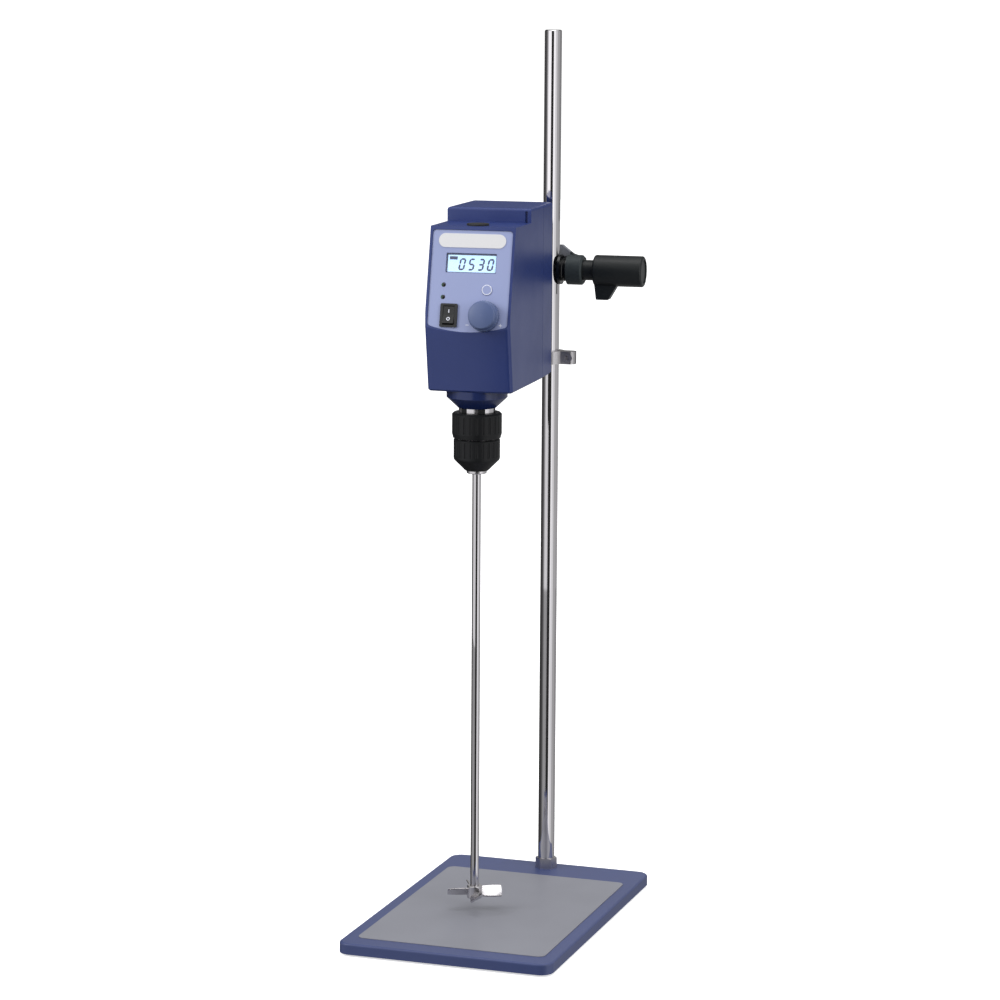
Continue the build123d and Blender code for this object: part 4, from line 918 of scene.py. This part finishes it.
@operator
class StirrerHousing(bpy.types.Operator):
    """Finish the case, its screws, the plug, the arm and the mains inlet"""
    bl_idname = "stirrer.housing"
    bl_label = "Housing"

    def execute(self, context):
        colours, _ = settings()
        case = moulded_plastic("case_plastic", colours.housing, 0.34)
        collar = tint(colours.housing, 0.8)
        machined = turned_steel("arm_steel", tint(colours.steel, 0.9))
        dress({
            "front_shell": case,
            "rear_shell": case,
            "neck_collar": moulded_plastic(
                "neck_plastic", collar, 0.22, depth=0.008 * MM
            ),
            "case_screws": turned_steel("case_screw_zinc", (0.75, 0.75, 0.78)),
            "passage_plug": dull_rubber("plug_rubber", (0.07, 0.07, 0.08)),
            "support_arm": machined,
            "arm_flange": machined,
            "power_inlet": moulded_plastic("inlet_plastic", colours.black, 0.4),
            "inlet_pins": turned_steel("pin_plating", (0.85, 0.8, 0.66), 0.2),
        })
        row = cross_screws(
            turned_steel("inlet_screw_zinc", (0.75, 0.75, 0.78)),
            columns=2, pitch=40 * MM, radius=3 * MM, height=SCREW_HEAD,
            cross=0.8 * MM, shank_radius=1.5 * MM, shank_length=8 * MM,
        )
        seats = face_of("inlet_screws", -HEAD_RIGHT, HEAD_BACK).shifted(out=-SCREW_HEAD)
        screws = row.grown(
            "inlet_pan_screws", seats.matrix, "head", SLOTS["inlet_screws"],
            SCREW_SMOOTH
        )
        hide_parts("inlet_screws")
        return {"FINISHED"}


# Printed marks: radii of rings, lengths and widths of bars, and how far they lie to
# the right and up.
BUTTON_RING = (3.9 * MM, 4.6 * MM)
ROCKER_BAR = (0.8 * MM, 3.0 * MM)
ROCKER_BAR_UP = 3.6 * MM
ROCKER_RING = (1.0 * MM, 1.6 * MM)
ROCKER_RING_UP = -3.4 * MM
SIGN_BAR = (3.0 * MM, 0.6 * MM)
MINUS_PLACE = (-15.9 * MM, -7.8 * MM)
PLUS_PLACE = (14.5 * MM, -7.4 * MM)


@operator
class StirrerPanel(bpy.types.Operator):
    """Finish the control panel, its controls and their printed marks"""
    bl_idname = "stirrer.panel"
    bl_label = "Panel"

    def execute(self, context):
        colours, sizes = settings()
        overlay = satin_overlay("panel_overlay", colours.panel)
        black = moulded_plastic("switch_plastic", colours.black, 0.36)
        ink = printed_ink("panel_ink", colours.ink)
        dress({
            "control_panel": overlay,
            "label_plate": printed_ink("label_film", (0.86, 0.86, 0.87)),
            "menu_button": overlay,
            # The green is painted glow of the lit lamps, on one side of the domes.
            "indicator_leds": lamp_resin(
                "lamp_resin", (0.02, 0.03, 0.02), (0.10, 0.38, 0.10)
            ),
            "button_contact": black,
            "speed_encoder": black,
            "encoder_shaft": turned_steel("encoder_brass", (0.85, 0.75, 0.5)),
            "switch_frame": black,
            "power_rocker": moulded_plastic(
                "rocker_plastic", tint(colours.black, 0.8), 0.28
            ),
            "speed_knob": moulded_plastic(
                "knob_plastic", colours.knob, 0.33, 0.25 * MM, 0.01 * MM
            ),
            "circuit_board": board_lacquer("board_lacquer", (0.1, 0.36, 0.18)),
        })
        height = sizes.ink_height
        maker = bmesh.new()
        button = face_of("menu_button", HEAD_RIGHT, PANEL_OUT)
        printed_ring(maker, "menu_button", button, BUTTON_RING, height)
        finished(maker, "button_ring", ink, "menu_button", "label_white", smooth=True)
        maker = bmesh.new()
        rocker = face_of("power_rocker", HEAD_RIGHT, PANEL_OUT)
        bar = rocker.shifted(up=ROCKER_BAR_UP)
        outline = oblong(*ROCKER_BAR, 0.2 * MM, 2)
        printed(maker, "power_rocker", bar, outline, height)
        ring = rocker.shifted(up=ROCKER_RING_UP)
        printed_ring(maker, "power_rocker", ring, ROCKER_RING, height)
        finished(maker, "rocker_marks", ink, "power_rocker", "label_white")
        maker = bmesh.new()
        knob = Patch(KNOB, HEAD_RIGHT, PANEL_OUT)
        minus = oblong(*SIGN_BAR, 0.1 * MM, 2)
        for place, outline in ((MINUS_PLACE, minus), (PLUS_PLACE, cross(*SIGN_BAR))):
            printed(maker, "control_panel", knob.shifted(*place), outline, height)
        finished(maker, "speed_marks", ink, "head", "label_white")
        return {"FINISHED"}


def cross(length, width):
    """Outline of a plus sign."""
    far, near = length / 2, width / 2
    return [
        (far, -near), (far, near), (near, near), (near, far),
        (-near, far), (-near, near), (-far, near), (-far, -near),
        (-near, -near), (-near, -far), (near, -far), (near, -near),
    ]


# Lit bars of each digit: Top, Middle and Bottom, Right and Left, and right and left
# in small letters for the lower half.
LIT_BARS = {
    "0": "TRrBlL", "1": "Rr", "2": "TRBlM", "3": "TRrBM", "4": "RrLM",
    "5": "TrBLM", "6": "TrBlLM", "7": "TRr", "8": "TRrBlLM", "9": "TRrBLM",
}
SLANT = math.tan(math.radians(10))
BAR_GAP = 0.1 * MM
MARK_THICKNESS = 0.05 * MM
FIRST_DIGIT = (-8.5 * MM, -1.0 * MM)
UNIT_BAR_PLACE = (-16.6 * MM, 4.45 * MM)
UNIT_BAR = (7.2 * MM, 2.9 * MM)
# The lit window's left and top edges: beyond them a dark strip is painted as the shadow of the display's recess,
# while the window runs past its right and bottom.
WINDOW_LEFT = -21.7 * MM
WINDOW_TOP = 7.2 * MM
PAST_WINDOW = 30 * MM


def bar_outline(length, width):
    """One bar of a digit, with pointed ends."""
    half, side = length / 2, width / 2
    return [
        (-half, 0), (-half + side, side), (half - side, side),
        (half, 0), (half - side, -side), (-half + side, -side),
    ]


def digit_bars(maker, sign, matrix, sizes):
    """Add the lit bars of one digit, leaning to the right."""
    width = sizes.digit_width - sizes.segment_width
    half = (sizes.digit_height - sizes.segment_width) / 2
    places = {
        "T": (0, half, False), "M": (0, 0, False), "B": (0, -half, False),
        "R": (width / 2, half / 2, True), "r": (width / 2, -half / 2, True),
        "L": (-width / 2, half / 2, True), "l": (-width / 2, -half / 2, True),
    }
    for name in LIT_BARS[sign]:
        x, y, upright = places[name]
        length = (half if upright else width) - BAR_GAP
        outline = bar_outline(length, sizes.segment_width)
        if upright:
            outline = [(-b, a) for a, b in outline]
        leaning = [(x + a + SLANT * (y + b), y + b) for a, b in outline]
        prism(maker, leaning, matrix, 0, MARK_THICKNESS)


@operator
class StirrerDisplay(bpy.types.Operator):
    """Light the display and set its digits"""
    bl_idname = "stirrer.display"
    bl_label = "Display"

    def execute(self, context):
        colours, sizes = settings()
        glass = face_of("display_module", HEAD_RIGHT, PANEL_OUT)
        across, up = glass.middle.dot(HEAD_RIGHT), glass.middle.dot(glass.up)
        # The digits' dark colour is left at the display's left and top as painted shadow of the recess.
        window = [
            (HEAD_RIGHT, across + WINDOW_LEFT, across + PAST_WINDOW),
            (glass.up, up - PAST_WINDOW, up + WINDOW_TOP),
        ]
        dress({
            "display_lens": clear_window("display_window"),
            "display_module": lit_crystal(
                "display_light", colours.display, colours.digits, 0.55, window
            ),
        })
        dark = dark_crystal("display_marks", colours.digits)
        maker = bmesh.new()
        first = glass.shifted(*FIRST_DIGIT)
        for index, sign in enumerate(sizes.reading):
            place = first.shifted(right=index * sizes.digit_pitch)
            digit_bars(maker, sign, place.matrix, sizes)
        place = glass.shifted(*UNIT_BAR_PLACE)
        prism(maker, oblong(*UNIT_BAR, 0.3 * MM, 3), place.matrix, 0, MARK_THICKNESS)
        finished(maker, "display_digits", dark, "head", "display_glow")
        return {"FINISHED"}


# ---------------- drive, chuck and stirrer

@operator
class StirrerDrive(bpy.types.Operator):
    """Finish the spindle drive inside the case"""
    bl_idname = "stirrer.drive"
    bl_label = "Drive"

    def execute(self, context):
        colours, _ = settings()
        machined = turned_steel("drive_steel", tint(colours.steel, 0.9))
        dress({
            "drive_frame": sand_casting("frame_casting", (0.62, 0.63, 0.64)).material,
            "lower_bearing": machined,
            "upper_bearing": machined,
            "spindle": machined,
            "spindle_pulley": turned_steel("pulley_alloy", (0.8, 0.8, 0.82)),
            "motor_pulley": turned_steel("pinion_alloy", (0.8, 0.8, 0.82)),
            "motor_shaft": machined,
            "drive_motor": turned_steel("motor_can", (0.62, 0.62, 0.64), 0.4),
            "drive_belt": dull_rubber("belt_rubber", (0.07, 0.07, 0.08)),
        })
        return {"FINISHED"}


@operator
class StirrerChuck(bpy.types.Operator):
    """Finish the chuck and the stirrer that it holds"""
    bl_idname = "stirrer.chuck"
    bl_label = "Chuck and stirrer"

    def execute(self, context):
        colours, sizes = settings()
        black = moulded_plastic("chuck_plastic", colours.black, 0.45, gloss=0.25)
        core = turned_steel("chuck_steel", tint(colours.steel, 0.95), 0.2)
        bright = tint(colours.steel, 0.97)
        dress({
            "spindle_lock_ring": turned_steel("lock_ring_steel", colours.steel, 0.18),
            "chuck_core": core,
            "chuck_upper_sleeve": black,
            "chuck_lower_sleeve": black,
            "jaw_drive_ring": core,
            "chuck_jaw_1": core,
            "chuck_jaw_2": core,
            "chuck_jaw_3": core,
            "stirrer_shaft": ground_rod("stirrer_steel", bright),
            "propeller": turned_steel("propeller_steel", bright, 0.16),
            "hub_screw": turned_steel("hub_screw_steel", tint(colours.steel, 0.8)),
        })
        # Dark blocks of the chuck's black plastic fill the lock ring's slots as painted shade of the slots.
        low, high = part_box("spindle_lock_ring")
        foot = Matrix.Translation((SPINDLE.x, SPINDLE.y, (low.z + high.z) / 2))
        shade_blocks = ring_keys(
            black, sizes.ring_keys, outer=16.2 * MM, depth=1.9 * MM, width=6.3 * MM,
            height=high.z - low.z - 0.3 * MM, first_turn=HEAD_SWING - math.radians(60),
        )
        shade_blocks.grown("lock_ring_keys", foot, "spindle", SLOTS["chuck_upper_sleeve"])
        return {"FINISHED"}


# ---------------- studio

CAMERA_PLACE = Vector((945.9, -2813.4, 884.6)) * MM
CAMERA_YAW = math.radians(18.61)
CAMERA_PITCH = math.radians(9.41)
CAMERA_ROLL = math.radians(0.36)
CAMERA_LENS = 119.51


def studio_camera():
    """The camera, looking slightly down at the object from its right front."""
    sin_yaw, cos_yaw = math.sin(CAMERA_YAW), math.cos(CAMERA_YAW)
    sin_pitch, cos_pitch = math.sin(CAMERA_PITCH), math.cos(CAMERA_PITCH)
    ahead = Vector((-sin_yaw * cos_pitch, cos_yaw * cos_pitch, -sin_pitch))
    level = Vector((cos_yaw, sin_yaw, 0))
    above = level.cross(ahead)
    sin_roll, cos_roll = math.sin(CAMERA_ROLL), math.cos(CAMERA_ROLL)
    right = level * cos_roll + above * sin_roll
    up = above * cos_roll - level * sin_roll
    data = bpy.data.cameras.new("camera")
    data.lens = CAMERA_LENS
    data.sensor_width = 36
    data.clip_end = 50
    camera = linked("camera", data)
    axes = Matrix((right, up, -ahead)).transposed().to_4x4()
    camera.matrix_world = Matrix.Translation(CAMERA_PLACE) @ axes
    bpy.context.scene.camera = camera


# Lamps: name, place, width, height and power.
LAMPS = [
    ("key_light", (-2.5, -1.8, 2.0), 1.4, 1.8, 52),
    ("fill_light", (2.6, -1.2, 1.5), 1.2, 1.8, 24),
    ("rim_light", (0.4, 2.4, 2.2), 1.6, 1.0, 14),
    ("top_light", (0.2, -0.2, 3.0), 1.5, 1.5, 16),
]
LAMP_TARGET = Vector((0, 0, 0.45))


def softbox(name, place, width, height, power):
    """A soft rectangular lamp that faces the object."""
    data = bpy.data.lights.new(name, "AREA")
    data.shape = "RECTANGLE"
    data.size = width
    data.size_y = height
    data.energy = power
    place = Vector(place)
    turn = (LAMP_TARGET - place).to_track_quat("-Z", "Y")
    linked(name, data).matrix_world = (
        Matrix.Translation(place) @ turn.to_matrix().to_4x4()
    )


WALL_RADIUS = 0.45
SCREEN_FACET = 3  # degrees
# Tiers of the reflector wall: name, foot, head, and the screens. Each screen runs
# from and to an azimuth in degrees and has its brightness.
TIERS = [
    ("low_screen", -0.5, 0.2, [
        (-180, -152, 0.06), (-152, -135, 0.2), (-135, -91, 0.4), (-91, -57, 0.02),
        (-57, -38, 1.1), (-38, -12, 0.9), (-12, 25, 0.5), (25, 140, 0.35),
        (140, 180, 0.04),
    ]),
    ("middle_screen", 0.2, 0.6, [
        (-180, -152, 0.08), (-152, -135, 0.4), (-135, -91, 0.9), (-91, -57, 0.02),
        (-57, -38, 1.2), (-38, -12, 0.9), (-12, 25, 0.5), (25, 140, 0.45),
        (140, 180, 0.04),
    ]),
    ("high_screen", 0.6, 1.3, [
        (-180, -152, 0.1), (-152, -135, 0.6), (-135, -94, 1.4), (-94, -62, 0.02),
        (-62, -38, 1.4), (-38, -12, 0.9), (-12, 25, 0.5), (25, 60, 0.3),
        (60, 140, 0.12), (140, 180, 0.05),
    ]),
]


def reflector_wall(name, foot, head, screens):
    """A tier of light and dark screens round the rod, seen by glossy surfaces only."""
    for index, (start, stop, level) in enumerate(screens):
        maker = bmesh.new()
        count = max(2, round((stop - start) / SCREEN_FACET))
        columns = []
        for step in range(count + 1):
            turn = math.radians(start + (stop - start) * step / count)
            x = ROD.x + WALL_RADIUS * math.cos(turn)
            y = ROD.y + WALL_RADIUS * math.sin(turn)
            columns.append([maker.verts.new((x, y, z)) for z in (foot, head)])
        for first, second in zip(columns, columns[1:]):
            maker.faces.new((first[0], first[1], second[1], second[0]))
        cloth = Finish(
            f"{name}_cloth_{index}", (0, 0, 0), 0.9, Emission_Strength=level
        )
        weave = cloth.noise(300 * MM, detail=1.0)
        shades = [plain(shade) for shade in ((1, 1, 1), (0.94, 0.94, 0.95))]
        cloth.set("Emission Color", cloth.mixed(weave, *shades))
        mesh = plain_mesh(maker, f"{name}_{index}", cloth.material)
        screen = linked(f"{name}_{index}", mesh)
        for ray in ("camera", "diffuse", "shadow", "transmission", "volume_scatter"):
            setattr(screen, "visible_" + ray, False)


def studio_world(background, above, below):
    """Soft light from overhead, and plain white where the camera sees no floor."""
    world = bpy.data.worlds.new("studio")
    world.use_nodes = True
    sky = Nodes(world.node_tree)
    shade = sky.tree.nodes["Background"]
    shade.inputs["Color"].default_value = (1, 1, 1, 1)
    direction = sky.node("ShaderNodeTexCoord").outputs["Generated"]
    height = sky.node("ShaderNodeSeparateXYZ", Vector=direction).outputs["Z"]
    fade = sky.node(
        "ShaderNodeMapRange", Value=height, From_Min=-1.0, From_Max=1.0,
        To_Min=below, To_Max=above,
    )
    seen = sky.node("ShaderNodeLightPath").outputs["Is Camera Ray"]
    level = sky.node(
        "ShaderNodeMapRange", Value=seen, To_Min=fade.outputs[0], To_Max=background
    )
    sky.feed(shade.inputs["Strength"], level.outputs[0])
    bpy.context.scene.world = world


FLOOR_RADIUS = 9.0
FLOOR_THICKNESS = 0.02


@operator
class StirrerStage(bpy.types.Operator):
    """Set up the pale floor, the soft light and the camera"""
    bl_idname = "stirrer.stage"
    bl_label = "Stage"

    def execute(self, context):
        maker = bmesh.new()
        rim = circle(FLOOR_RADIUS, 96)
        prism(maker, rim, Matrix.Identity(4), -FLOOR_THICKNESS, 0.0)
        paper = Finish("floor_paper", (0.97, 0.97, 0.975), 0.6, Emission_Strength=0.6)
        paper.set("Emission Color", (1, 1, 1, 1))
        fibre = paper.noise(120 * MM)
        paper.set("Roughness", 0.55 + fibre * 0.15)
        floor = linked("floor", plain_mesh(maker, "floor", paper.material))
        floor.visible_diffuse = False
        floor.visible_glossy = False
        studio_world(background=1.1, above=0.95, below=0.12)
        for tier in TIERS:
            reflector_wall(*tier)
        for lamp in LAMPS:
            softbox(*lamp)
        context.scene.view_settings.view_transform = "Standard"
        studio_camera()
        return {"FINISHED"}


# ---------------- sidebar and start

class VIEW3D_PT_stirrer(bpy.types.Panel):
    """Sidebar panel with the stirrer's settings and steps"""
    bl_idname = "VIEW3D_PT_stirrer"
    bl_label = "Overhead Stirrer"
    bl_space_type = "VIEW_3D"
    bl_region_type = "UI"
    bl_category = "Stirrer"

    def draw(self, context):
        for group in settings():
            box = self.layout.box()
            for key in group.__annotations__:
                box.prop(group, key)
        for cls in CLASSES:
            if issubclass(cls, bpy.types.Operator):
                self.layout.operator(cls.bl_idname)


def register():
    for cls in CLASSES:
        bpy.utils.register_class(cls)
    bpy.utils.register_class(VIEW3D_PT_stirrer)
    bpy.types.Scene.stirrer_colours = PointerProperty(type=StirrerColours)
    bpy.types.Scene.stirrer_sizes = PointerProperty(type=StirrerSizes)


def unregister():
    del bpy.types.Scene.stirrer_sizes
    del bpy.types.Scene.stirrer_colours
    bpy.utils.unregister_class(VIEW3D_PT_stirrer)
    for cls in reversed(CLASSES):
        bpy.utils.unregister_class(cls)


def main():
    register()
    for cls in CLASSES:
        if issubclass(cls, bpy.types.Operator):
            group, name = cls.bl_idname.split(".")
            getattr(getattr(bpy.ops, group), name)()


if __name__ == "__main__":
    main()
